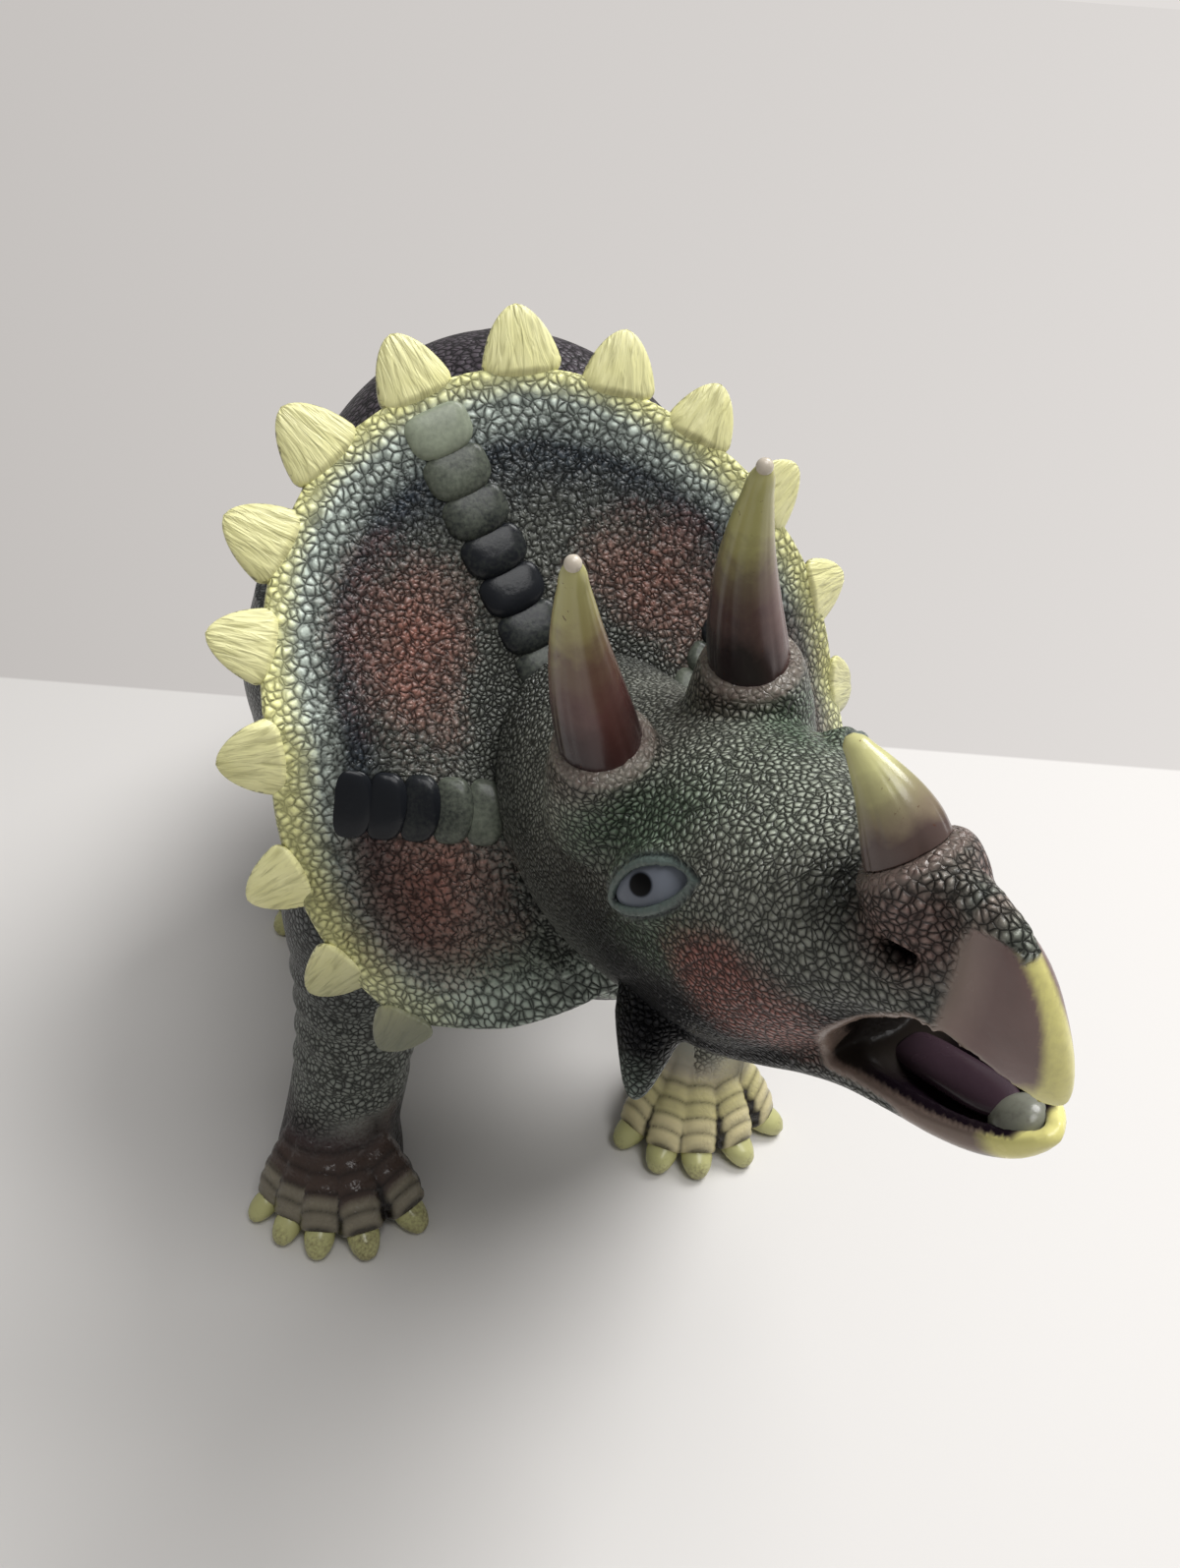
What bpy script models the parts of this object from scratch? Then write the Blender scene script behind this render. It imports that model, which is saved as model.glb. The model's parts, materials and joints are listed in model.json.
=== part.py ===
# Horned dinosaur toy figure: hollow soft-vinyl castings that swivel on snap flanges.
# Metres, +Z up. The figure faces -Y and its left side is +X.
# The head is built in its own frame, on the neck axis, and is then turned as a whole.

import math

import bmesh
import bpy
import numpy as np
from mathutils import Vector

mm = 0.001

# Walls and fits
wall = 2.4 * mm
gap = 0.3 * mm
weld_distance = 0.01 * mm
overrun = 9.0 * mm
flange_lip = 3.0 * mm
flange_thickness = 2.5 * mm
plug_embed = 1.3 * mm

# Heights above the floor, all carried by the hips
hip_height = 136.0 * mm
hip_over_shoulder = 12.0 * mm
back_over_hip = 95.0 * mm
back_over_neck = 77.4 * mm
back_over_tail = 83.0 * mm
back_height = hip_height + back_over_hip

# Neck joint
neck_height = back_height - back_over_neck
neck_radius = 38.0 * mm
neck_bore = 25.0 * mm
neck_rise = math.radians(35.0)
head_twist = math.radians(22.5)

# Trunk
trunk_length = 212.0 * mm
trunk_half_width = 62.0 * mm
trunk_half_height = 76.0 * mm

# Tail
tail_length = 98.0 * mm
tail_radius = 33.0 * mm
tail_bore = 18.0 * mm
tail_joint_height = back_height - back_over_tail
tail_drop = math.radians(20.0)
tail_sway = 34.0 * mm

# Legs, shared
shoulder_back_share = 0.217
seat_rim = 1.5 * mm
hollow_start = 12.0 * mm

# Forelegs
shoulder_plane = 41.0 * mm
shoulder_back = shoulder_back_share * trunk_length
shoulder_height = hip_height - hip_over_shoulder
shoulder_radius = 35.0 * mm
shoulder_swell = 28.0 * mm
shoulder_bore = 19.0 * mm
foreleg_half_width = 17.5 * mm
forefoot_outboard_right = 28.0 * mm
forefoot_outboard_left = 7.0 * mm
forefoot_forward = 4.0 * mm
forefoot_back = shoulder_back - forefoot_forward

# Hind legs
hip_plane = 41.0 * mm
hip_to_tail = 52.0 * mm
hip_back = trunk_length - hip_to_tail
hip_radius = 43.0 * mm
hip_swell = 32.0 * mm
hip_bore = 23.0 * mm
hindleg_half_width = 19.0 * mm
hindfoot_outboard = 16.0 * mm
hindfoot_backward = 14.0 * mm
hindfoot_back = hip_back + hindfoot_backward

# Toes
toe_radius = 8.5 * mm
toe_length = 17.0 * mm
toe_reach = 27.0 * mm
claw_length = 9.0 * mm

# Frill
frill_forward = 20.0 * mm
frill_lift = 30.0 * mm
frill_radius = 76.0 * mm
frill_thickness = 5.6 * mm
frill_dish = 9.0 * mm
frill_sweep = 33.0 * mm
spike_length = 11.0 * mm
spike_width = 17.0 * mm

# Skull and jaw
head_wall = 3.6 * mm
skull_length = 128.0 * mm
skull_depth = 78.0 * mm
skull_half_width = 26.0 * mm
jaw_half_width = 14.0 * mm
jugal_length = 17.0 * mm
jugal_radius = 9.0 * mm

# Scutes on the frill
scute_pitch = 8.0 * mm
scute_length = 6.6 * mm
scute_width = 14.0 * mm
scute_height = 4.0 * mm
scute_count = 7
lateral_scute_lean = math.radians(58.0)

# Horns and eyes
brow_horn_length = 54.0 * mm
brow_horn_radius = 7.6 * mm
brow_horn_bow = 3.0 * mm
nose_horn_length = 23.0 * mm
nose_horn_radius = 5.6 * mm
nose_horn_bow = 1.5 * mm
collar_height = 7.0 * mm
collar_rim = 3.0 * mm
stem_length = 5.0 * mm
eye_radius = 6.4 * mm

# Shares of those sizes
torso_shares = [
    # along the trunk, centre below the back, half width, half height, lean by the neck rise
    (0.09, 1.1398, 0.64, 0.60, 0.86),
    (0.20, 1.1915, 0.80, 0.76, 0.43),
    (0.33, 1.1307, 0.95, 0.88, 0.14),
    (0.47, 1.0273, 1.09, 0.96, 0.00),
    (0.61, 0.9726, 1.12, 1.00, 0.00),
    (0.75, 0.9726, 1.02, 0.97, -0.06),
    (0.87, 1.0213, 0.77, 0.82, -0.20),
]
tail_shares = [
    # along the tail, radius, sag, sway
    (-0.08, 1.00, 0.00, 0.00),
    (0.00, 1.00, 0.00, 0.00),
    (0.20, 0.88, 0.00, 0.02),
    (0.42, 0.66, 0.02, 0.12),
    (0.64, 0.45, 0.05, 0.35),
    (0.84, 0.26, 0.09, 0.72),
    (1.00, 0.09, 0.12, 1.00),
]
foreleg_shares = [
    # height, half width, half depth, way from foot centre to joint centre
    (-0.08, 1.50, 1.46, 0.00),
    (0.05, 1.54, 1.52, 0.00),
    (0.16, 1.16, 1.22, 0.22),
    (0.30, 1.02, 1.10, 0.52),
    (0.50, 1.00, 1.12, 0.78),
    (0.70, 1.08, 1.32, 0.94),
    (0.90, 1.14, 1.60, 1.00),
    (1.05, 0.80, 1.30, 1.00),
]
hindleg_shares = [
    (-0.07, 1.40, 1.42, 0.00),
    (0.05, 1.44, 1.48, 0.00),
    (0.15, 1.20, 1.24, -0.06),
    (0.29, 1.02, 1.10, -0.20),
    (0.47, 1.08, 1.26, 0.05),
    (0.66, 1.22, 1.62, 0.60),
    (0.86, 1.26, 1.84, 1.00),
    (1.05, 0.90, 1.40, 1.00),
]
frill_ring_shares = [0.30, 0.56, 0.78, 0.93]
frill_rim_shares = [
    # degrees from the top, rim radius
    (0.0, 1.00),
    (18.0, 0.99),
    (34.5, 0.945),
    (51.0, 0.895),
    (70.0, 0.865),
    (91.0, 0.92),
    (110.0, 0.99),
    (125.0, 1.04),
    (141.0, 0.94),
    (158.0, 0.80),
    (180.0, 0.72),
]
frill_flat_share = 0.42
boss_in_frill_share = 0.2
frill_sweep_shares = [
    # degrees from the top, backward sweep of the rim
    (65.0, 0.0),
    (91.0, 0.5),
    (110.0, 1.0),
    (126.0, 1.0),
    (141.0, 0.5),
    (158.0, 0.1),
    (180.0, 0.0),
]
spike_angles_deg = [0.0, 18.0, 34.5, 51.0, 70.0, 91.5, 110.5, 125.0]
bare_rim_deg = 9.0
spike_section_shares = ((-1.0, 0.0), (-0.25, 0.96), (0.25, 0.96), (1.0, 0.0))
spike_size_shares = [1.00, 1.05, 1.00, 0.95, 0.95, 0.95, 0.90, 0.80]
skull_shares = [
    # forward by skull length, top and bottom by skull depth, half width
    (-0.04, 0.24, -0.86, 1.46),
    (0.09, 0.075, -0.87, 1.19),
    (0.23, 0.00, -0.885, 1.05),
    (0.375, -0.05, -0.875, 1.01),
    (0.484, -0.105, -0.84, 0.94),
    (0.586, -0.165, -0.79, 0.82),
    (0.69, -0.255, -0.72, 0.69),
    (0.77, -0.325, -0.635, 0.54),
    (0.86, -0.365, -0.70, 0.36),
    (0.925, -0.38, -0.79, 0.22),
    (0.972, -0.43, -0.69, 0.16),
    (1.00, -0.47, -0.56, 0.08),
]
jaw_shares = [
    (0.20, -0.60, -0.88, 1.00),
    (0.45, -0.66, -0.850, 1.06),
    (0.62, -0.70, -0.850, 0.90),
    (0.72, -0.76, -0.895, 0.74),
    (0.80, -0.82, -0.94, 0.55),
    (0.865, -0.85, -0.895, 0.20),
]
brow_place_shares = (0.56, 0.384, -0.114)
brow_aim_shares = (0.02, 0.78, 0.62)
nose_place_shares = (0.0, 0.87, -0.435)
nose_aim_shares = (0.0, -0.04, 1.0)
eye_place_shares = (0.74, 0.488, -0.32)
jugal_place_shares = (0.84, 0.23, -0.70)
jugal_aim_shares = (0.62, 0.05, -0.78)
horn_taper_shares = [(0.0, 1.0), (0.18, 0.93), (0.40, 0.76), (0.64, 0.54), (0.86, 0.31), (1.0, 0.13)]
stem_radius_share = 0.6
toe_size_shares = [0.86, 1.0, 1.05, 1.0, 0.86]
toe_spread_deg = 112.0
median_scute_top_share = 0.87
lateral_scute_place_shares = (0.76, 0.125)

toe_section_shares = [
    # along the toe, half width, half height
    (0.0, 0.90, 1.50),
    (0.55, 1.00, 1.35),
    (1.0, 0.86, 0.95),
]
toe_lift_share = 0.35
claw_section_shares = (0.28, 0.40)

# Facet counts
skull_hollow_rings = 7
around_body = 12
around_leg = 8
around_skull = 10
around_hollow = 8
around_horn = 10
around_toe = 6
turn_steps = 20
small_turn_steps = 12
dome_turns = 5
bare_rim_steps = 6
flat_share = math.cos(math.pi / turn_steps)
sharp_turn = math.radians(50.0)

for old in list(bpy.data.objects):
    bpy.data.objects.remove(old, do_unlink=True)

parts = bpy.data.collections.new("toy_dinosaur_figure")
cutters = bpy.data.collections.new("cutters")
bpy.context.scene.collection.children.link(parts)
bpy.context.scene.collection.children.link(cutters)

figure = bpy.data.objects.new("figure_origin", None)
parts.objects.link(figure)


def material(name, colour, roughness):
    made = bpy.data.materials.new(name)
    made.use_nodes = True
    shader = made.node_tree.nodes["Principled BSDF"]
    shader.inputs["Base Color"].default_value = (*colour, 1.0)
    shader.inputs["Roughness"].default_value = roughness
    shader.inputs["Metallic"].default_value = 0.0
    return made


def add_object(name, mesh, collection, parent, finish=None):
    made = bpy.data.objects.new(name, mesh)
    collection.objects.link(made)
    made.parent = parent
    if finish is None:
        made.hide_render = True
        made.display_type = "WIRE"
    else:
        mesh.materials.append(finish)
    return made


def piece(name, mesh, parent, colour, roughness):
    # A node of the figure, with its own material, smooth apart from its cut edges.
    mesh.shade_smooth()
    mesh.set_sharp_from_angle(angle=sharp_turn)
    return add_object(name, mesh, parts, parent, material(name + "_vinyl", colour, roughness))


def loft(name, rings):
    # Skin over a run of closed rings with equal point counts, closed at both ends.
    rings = np.asarray(rings, dtype=float)
    count, around, _ = rings.shape
    faces = []
    for ring in range(count - 1):
        for step in range(around):
            turn = (step + 1) % around
            low, high = ring * around, (ring + 1) * around
            faces.append((low + step, low + turn, high + turn, high + step))
    faces.append(tuple(range(around))[::-1])
    faces.append(tuple(range((count - 1) * around, count * around)))
    mesh = bpy.data.meshes.new(name)
    mesh.from_pydata(rings.reshape(-1, 3).tolist(), [], faces)
    shape = bmesh.new()
    shape.from_mesh(mesh)
    bmesh.ops.recalc_face_normals(shape, faces=shape.faces)
    shape.to_mesh(mesh)
    shape.free()
    return mesh


def oval(centre, across, up, half_width, half_height, around):
    # Ring of points; the swell makes a subdivided ring reach the stated radii.
    swell = 3.0 / (2.0 + math.cos(2.0 * math.pi / around))
    angle = np.arange(around) * (2.0 * math.pi / around)
    side = np.outer(np.cos(angle) * half_width * swell, across)
    rise = np.outer(np.sin(angle) * half_height * swell, up)
    return np.asarray(centre) + side + rise


def smooth(target, level=1):
    rounding = target.modifiers.new("rounding", "SUBSURF")
    rounding.levels = level
    rounding.render_levels = level


def combine(target, operation, tools, solver="MANIFOLD"):
    # Joins or cuts with each tool in turn. The exact solver leaves open slivers on the castings,
    # where many curved walls meet nearly flush, so they use the manifold one.
    for tool in tools:
        step = target.modifiers.new(operation.lower() + " " + tool.name, "BOOLEAN")
        step.operation = operation
        step.object = tool
        step.solver = solver


def turned(name, profile, parent, centre, outward, steps=turn_steps):
    # Solid of revolution about outward; the profile gives radius and height, top to bottom.
    mesh = bpy.data.meshes.new(name)
    points = [(radius, 0.0, height) for radius, height in profile]
    mesh.from_pydata(points, [(step, step + 1) for step in range(len(points) - 1)], [])
    made = add_object(name, mesh, cutters, parent)
    made.location = centre
    made.rotation_euler = Vector(outward).to_track_quat("Z", "Y").to_euler()
    spin = made.modifiers.new("turn", "SCREW")
    spin.steps = steps
    spin.render_steps = steps
    spin.use_merge_vertices = True
    spin.merge_threshold = weld_distance
    return made


def rod(name, radius, bottom, top, parent, centre, outward, steps=turn_steps):
    profile = [(0.0, top), (radius, top), (radius, bottom), (0.0, bottom)]
    return turned(name, profile, parent, centre, outward, steps)


def box(name, low, high, parent):
    bpy.ops.mesh.primitive_cube_add(size=1.0)
    made = bpy.context.object
    made.name = name
    for owner in list(made.users_collection):
        owner.objects.unlink(made)
    cutters.objects.link(made)
    made.parent = parent
    low, high = Vector(low), Vector(high)
    for corner in made.data.vertices:
        share = corner.co + Vector((0.5, 0.5, 0.5))
        corner.co = low + Vector(share[axis] * (high - low)[axis] for axis in range(3))
    made.hide_render = True
    made.display_type = "WIRE"
    return made


def snap_plug(name, bore, parent, centre, outward):
    # Neck and flange that snap through the seat wall; the seat face is at height zero.
    shaft = bore * flat_share - gap
    lip = bore + flange_lip
    under = -wall - gap
    profile = [
        (0.0, gap + plug_embed),
        (shaft, gap + plug_embed),
        (shaft, under),
        (lip, under),
        (lip, under - flange_thickness),
        (0.0, under - flange_thickness),
    ]
    return turned(name, profile, parent, centre, outward)


def plug_hole(name, bore, parent, centre, outward, reach):
    inner = bore * flat_share - gap - wall
    bottom = -wall - flange_thickness - overrun
    return rod(name, inner, bottom, reach, parent, centre, outward)


# Neck and tail axes, pointing away from the trunk
neck_centre = Vector((0.0, 0.0, neck_height))
neck_out = Vector((0.0, -math.cos(neck_rise), math.sin(neck_rise)))
tail_centre = Vector((0.0, trunk_length, tail_joint_height))
tail_out = Vector((0.0, math.cos(tail_drop), -math.sin(tail_drop)))
side_axis = np.array((1.0, 0.0, 0.0))
seats = {
    "shoulder": (shoulder_plane, shoulder_back, shoulder_height, shoulder_radius, shoulder_bore),
    "hip": (hip_plane, hip_back, hip_height, hip_radius, hip_bore),
}


def trunk_rings(inset):
    rings = []
    up = np.array((0.0, math.sin(neck_rise), math.cos(neck_rise)))
    for reach in (overrun, 0.0):
        centre = np.array(neck_centre + neck_out * reach)
        rings.append(oval(centre, side_axis, up, neck_radius - inset, neck_radius - inset, around_body))
    for along, drop, half_width, half_height, lean in torso_shares:
        centre = (0.0, along * trunk_length, back_height - drop * trunk_half_height)
        angle = lean * neck_rise
        up = np.array((0.0, math.sin(angle), math.cos(angle)))
        width = half_width * trunk_half_width - inset
        depth = half_height * trunk_half_height - inset
        rings.append(oval(centre, side_axis, up, width, depth, around_body))
    up = np.array((0.0, math.sin(tail_drop), math.cos(tail_drop)))
    for reach in (0.0, overrun):
        centre = np.array(tail_centre + tail_out * reach)
        rings.append(oval(centre, side_axis, up, tail_radius - inset, tail_radius - inset, around_body))
    return rings


def face_cut(name, parent, centre, outward, depth, radius):
    # Clears everything beyond a joint's seat face, which lies depth inside the joint centre.
    return rod(name, radius, -depth, overrun + overrun, parent, centre, outward)


def leg_seats(inset):
    # Round flats that the legs turn on, set in by the wall where they trim the hollow.
    tools = []
    for place, (plane, back, height, radius, _) in seats.items():
        for side in (1.0, -1.0):
            centre = (side * (plane - inset), back, height)
            name = "%s seat %+d inset %d" % (place, side, inset > 0.0)
            rim = radius + seat_rim + inset
            tools.append(rod(name, rim, 0.0, trunk_half_width, figure, centre, (side, 0.0, 0.0)))
    return tools


def make_torso():
    torso = piece("torso_shell", loft("torso_shell", trunk_rings(0.0)), figure, (0.10, 0.10, 0.12), 0.45)
    smooth(torso)
    bosses = []
    rooms = []
    bores = []
    for place, (plane, back, height, radius, bore) in seats.items():
        centre = (0.0, back, height)
        bosses.append(rod(place + " boss", radius, -plane, plane, figure, centre, side_axis))
        for side in (1.0, -1.0):
            face = (side * plane, back, height)
            outward = (side, 0.0, 0.0)
            label = place + (" left" if side > 0.0 else " right")
            bores.append(rod(label + " bore", bore, -plane + overrun, overrun, figure, face, outward))
            room = bore + flange_lip + gap
            rooms.append(rod(label + " room", room, -plane + overrun, -wall, figure, face, outward))
    hollow = add_object("trunk hollow", loft("trunk hollow", trunk_rings(wall)), cutters, figure)
    smooth(hollow)
    wide = trunk_half_width + overrun
    trims = leg_seats(wall)
    trims.append(face_cut("neck wall", figure, neck_centre, neck_out, wall, wide))
    trims.append(face_cut("tail wall", figure, tail_centre, tail_out, wall, wide))
    combine(hollow, "DIFFERENCE", trims)
    combine(torso, "UNION", bosses)
    faces = [
        face_cut("neck face", figure, neck_centre, neck_out, 0.0, wide),
        face_cut("tail face", figure, tail_centre, tail_out, 0.0, wide),
    ]
    deep = flange_thickness + wall + overrun
    bores.append(rod("neck bore", neck_bore, -deep, overrun, figure, neck_centre, neck_out))
    bores.append(rod("tail bore", tail_bore, -deep, overrun, figure, tail_centre, tail_out))
    combine(torso, "DIFFERENCE", leg_seats(0.0) + faces + [hollow] + rooms + bores)
    return torso


def leg_rings(table, height, half_width, foot, side, inset, start):
    # Level rings from the sole to the joint; foot is the foot centre seen from the joint.
    rings = []
    forward = np.array((0.0, 1.0, 0.0))
    top = side * half_width
    for level, width, depth, way in table:
        if level * height < start:
            continue
        x = foot[0] + (top - foot[0]) * way
        y = foot[1] * (1.0 - way)
        centre = (x, y, (level - 1.0) * height)
        across, along = width * half_width - inset, depth * half_width - inset
        rings.append(oval(centre, side_axis, forward, across, along, around_leg))
    return rings


def dome(name, radius, swell, parent, side):
    # Rounded shoulder or haunch on the joint axis, flat towards the trunk.
    profile = []
    for step in range(dome_turns + 1):
        angle = 0.5 * math.pi * (1.0 - step / dome_turns)
        profile.append((radius * math.cos(angle), gap + swell * math.sin(angle)))
    profile[0] = (0.0, gap + swell)
    profile.append((0.0, gap))
    return turned(name, profile, parent, (0.0, 0.0, 0.0), (side, 0.0, 0.0))


def toes(name, foot, height, parent, count):
    # Fan of rounded toes, each with a blunt claw, in front of the foot centre.
    made = []
    known = np.linspace(0.0, 1.0, len(toe_size_shares))
    sizes = np.interp(np.linspace(0.0, 1.0, count), known, toe_size_shares)
    for index, size in enumerate(sizes):
        turn = math.radians(toe_spread_deg) * (index / (count - 1) - 0.5)
        aim = np.array((math.sin(turn), -math.cos(turn), 0.0))
        across = np.array((math.cos(turn), math.sin(turn), 0.0))
        radius = toe_radius * size
        base = np.array((foot[0], foot[1], -height)) + aim * (toe_reach - toe_length)
        up = np.array((0.0, 0.0, 1.0))
        rings = []
        rise = up * (radius * toe_lift_share)
        for along, width, lift in toe_section_shares:
            centre = base + aim * (along * toe_length) + rise
            rings.append(oval(centre, across, up, radius * width, radius * lift, around_toe))
        tip = base + aim * (toe_length + claw_length) + rise
        width, lift = claw_section_shares
        rings.append(oval(tip, across, up, radius * width, radius * lift, around_toe))
        label = "%s toe %d" % (name, index + 1)
        made.append(add_object(label, loft(label, rings), cutters, parent))
    return made


def make_leg(name, side, seat, table, half_width, swell, foot_place, toe_count, colour):
    plane, back, height, radius, bore = seat
    foot_outboard, foot_back = foot_place
    foot = (side * foot_outboard, foot_back - back)
    rings = leg_rings(table, height, half_width, foot, side, 0.0, -height)
    leg = piece(name, loft(name, rings), figure, colour, 0.45)
    leg.location = (side * plane, back, height)
    smooth(leg)
    outward = (side, 0.0, 0.0)
    centre = (0.0, 0.0, 0.0)
    low_x, high_x = sorted((-side * plane, side * gap))
    reach = radius + seat_rim
    low, high = (low_x, -reach - reach, -reach), (high_x, reach + reach, reach)
    clear = box(name + " trunk clearance", low, high, leg)
    shoulder = dome(name + " dome", radius, swell, leg, side)
    plug = snap_plug(name + " plug", bore, leg, centre, outward)
    rings = leg_rings(table, height, half_width, foot, side, wall, hollow_start)
    hollow = add_object(name + " hollow", loft(name + " hollow", rings), cutters, leg)
    smooth(hollow)
    inner_dome = dome(name + " inner dome", radius - wall, swell - wall - wall, leg, side)
    inner_dome.location = (side * wall, 0.0, 0.0)
    wide = trunk_half_width
    trim_low, trim_high = sorted((-side * wide, side * (gap + wall)))
    low, high = (trim_low, -wide - wide, -height), (trim_high, wide + wide, wide)
    trim = box(name + " hollow trim", low, high, leg)
    combine(hollow, "DIFFERENCE", [trim])
    low, high = (-wide - wide, -wide - wide, -height - wide), (wide + wide, wide + wide, -height)
    floor_cut = box(name + " floor", low, high, leg)
    hole = plug_hole(name + " hole", bore, leg, centre, outward, half_width)
    combine(leg, "DIFFERENCE", [clear])
    combine(leg, "UNION", toes(name, foot, height, leg, toe_count) + [shoulder, plug])
    combine(leg, "DIFFERENCE", [hollow, inner_dome, hole, floor_cut])
    return leg


def tail_rings(inset, last):
    rings = []
    up = np.array((0.0, math.sin(tail_drop), math.cos(tail_drop)))
    down = np.array((0.0, 0.0, -1.0))
    for along, radius, sag, sway in tail_shares[:last]:
        centre = np.array(tail_out) * (along * tail_length + gap)
        centre = centre + down * (sag * tail_length) + side_axis * (sway * tail_sway)
        size = radius * tail_radius - inset
        rings.append(oval(centre, side_axis, up, size, size, around_leg))
    return rings


def make_tail():
    tail = piece("tail", loft("tail", tail_rings(0.0, len(tail_shares))), figure, (0.10, 0.10, 0.12), 0.45)
    tail.location = tail_centre
    smooth(tail)
    centre = (0.0, 0.0, 0.0)
    wide = tail_radius + overrun
    rings = tail_rings(wall, len(tail_shares) - 1)
    hollow = add_object("tail hollow", loft("tail hollow", rings), cutters, tail)
    smooth(hollow)
    combine(hollow, "DIFFERENCE", [rod("tail inner face", wide, -wide, gap + wall, tail, centre, tail_out)])
    face = rod("tail joint face", wide, -wide, gap, tail, centre, tail_out)
    plug = snap_plug("tail plug", tail_bore, tail, centre, tail_out)
    hole = plug_hole("tail hole", tail_bore, tail, centre, tail_out, tail_radius)
    combine(tail, "DIFFERENCE", [face])
    combine(tail, "UNION", [plug])
    combine(tail, "DIFFERENCE", [hollow, hole])
    return tail


# The head's frame: origin on the neck axis at the seat face, the snout towards -Y.
head = bpy.data.objects.new("head_axis", None)
parts.objects.link(head)
head.parent = figure
head.location = neck_centre
head.rotation_euler = (-neck_rise, 0.0, 0.0)
head_turn = bpy.data.objects.new("head_turn", None)
parts.objects.link(head_turn)
head_turn.parent = head
head_turn.rotation_euler = (0.0, -head_twist, 0.0)
head_out = (0.0, -1.0, 0.0)


def at_head(x, forward, up):
    return np.array((x, -forward - frill_forward, up + frill_lift))


def skull_place(shares):
    side, forward, up = shares
    return at_head(side * skull_half_width, forward * skull_length, up * skull_depth)


def head_rings(table, half_width, inset, around):
    rings = []
    up = np.array((0.0, 0.0, 1.0))
    for forward, top, bottom, width in table:
        centre = at_head(0.0, forward * skull_length, 0.5 * (top + bottom) * skull_depth)
        depth = 0.5 * (top - bottom) * skull_depth - inset
        rings.append(oval(centre, side_axis, up, width * half_width - inset, depth, around))
    return rings


def frill_rim(angle):
    degrees, shares = zip(*frill_rim_shares)
    return frill_radius * np.interp(abs(math.degrees(angle)), degrees, shares)


def frill_back(angle, share):
    # Dished at the centre, with the lower sides swept back.
    turn = abs(math.degrees(angle))
    degrees, shares = zip(*frill_sweep_shares)
    outer = max(0.0, share - frill_flat_share) / (1.0 - frill_flat_share)
    sweep = frill_sweep * np.interp(turn, degrees, shares) * outer * math.sqrt(outer)
    return frill_dish * (1.0 - share * share) + sweep


def frill_point(angle, radius, share):
    back = frill_back(angle, share)
    return at_head(radius * math.sin(angle), -back, radius * math.cos(angle))


def frill_outline():
    # Angle and outer radius around the rim, four points to a spike.
    points = []
    for degrees, size in zip(spike_angles_deg, spike_size_shares):
        for side in (1.0,) if degrees == 0.0 else (1.0, -1.0):
            middle = math.radians(degrees) * side
            half = 0.5 * spike_width * size / frill_rim(middle)
            for place, rise in spike_section_shares:
                angle = middle + half * place
                points.append((angle, frill_rim(angle) + rise * size * spike_length))
    lower = math.radians(spike_angles_deg[-1] + bare_rim_deg)
    for step in range(bare_rim_steps + 1):
        angle = lower + (2.0 * math.pi - 2.0 * lower) * step / bare_rim_steps
        angle = angle if angle <= math.pi else angle - 2.0 * math.pi
        points.append((angle, frill_rim(angle)))
    return sorted(points)


def make_frill_mesh():
    outline = frill_outline()
    around = len(outline)
    rows = [[at_head(0.0, -frill_back(0.0, 0.0), 0.0)]]
    for share in frill_ring_shares:
        row = []
        for angle, _ in outline:
            row.append(frill_point(angle, frill_rim(angle) * share, share))
        rows.append(row)
    rows.append([frill_point(angle, radius, 1.0) for angle, radius in outline])
    faces = [(0, 1 + step, 1 + (step + 1) % around) for step in range(around)]
    for row in range(len(rows) - 2):
        low, high = 1 + row * around, 1 + (row + 1) * around
        for step in range(around):
            turn = (step + 1) % around
            faces.append((low + step, high + step, high + turn, low + turn))
    mesh = bpy.data.meshes.new("head_shell")
    mesh.from_pydata([tuple(point) for row in rows for point in row], [], faces)
    return mesh


def horn_rings(length, radius, bow, start, aim, back):
    # Tapered rings along a slightly bowed axis.
    aim = Vector(aim).normalized()
    across = Vector((1.0, 0.0, 0.0))
    up = aim.cross(across).normalized()
    rings = []
    for along, size in horn_taper_shares:
        bend = bow * math.sin(math.pi * along)
        centre = Vector(start) + aim * (along * length + back) + up * bend
        rings.append(oval(centre, across, up, radius * size, radius * size, around_horn))
    return rings


def make_horn(name, sizes, mirror):
    # A horn with a stem that plugs into its collar on the skull.
    place_shares, aim_shares, length, radius, bow = sizes
    place = skull_place(place_shares)
    place[0] = place[0] * mirror
    aim = Vector((aim_shares[0] * mirror, -aim_shares[1], aim_shares[2])).normalized()
    seat = collar_height + gap
    rings = horn_rings(length - seat, radius, bow, place, aim, seat)
    horn = piece(name, loft(name, rings), head_turn, (0.30, 0.13, 0.14), 0.35)
    thick = radius * stem_radius_share
    foot = collar_height - stem_length
    stem = rod(name + " stem", thick, foot, seat + stem_length, head_turn, place, aim, small_turn_steps)
    combine(horn, "UNION", [stem], "EXACT")
    outer = radius + collar_rim
    inner = radius + gap
    low = -collar_height
    edge = collar_height - collar_rim
    profile = [(0.0, collar_height), (inner, collar_height), (outer, edge), (outer, low), (0.0, low)]
    collar = turned(name + " collar", profile, head_turn, place, aim, around_horn)
    deep = foot - gap
    top = seat + stem_length
    hole = rod(name + " socket", thick + gap, deep, top, head_turn, place, aim, small_turn_steps)
    return collar, hole


def ball(name, radius):
    shape = bmesh.new()
    bmesh.ops.create_uvsphere(shape, u_segments=small_turn_steps, v_segments=around_hollow, radius=radius)
    mesh = bpy.data.meshes.new(name)
    shape.to_mesh(mesh)
    shape.free()
    return mesh


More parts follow.
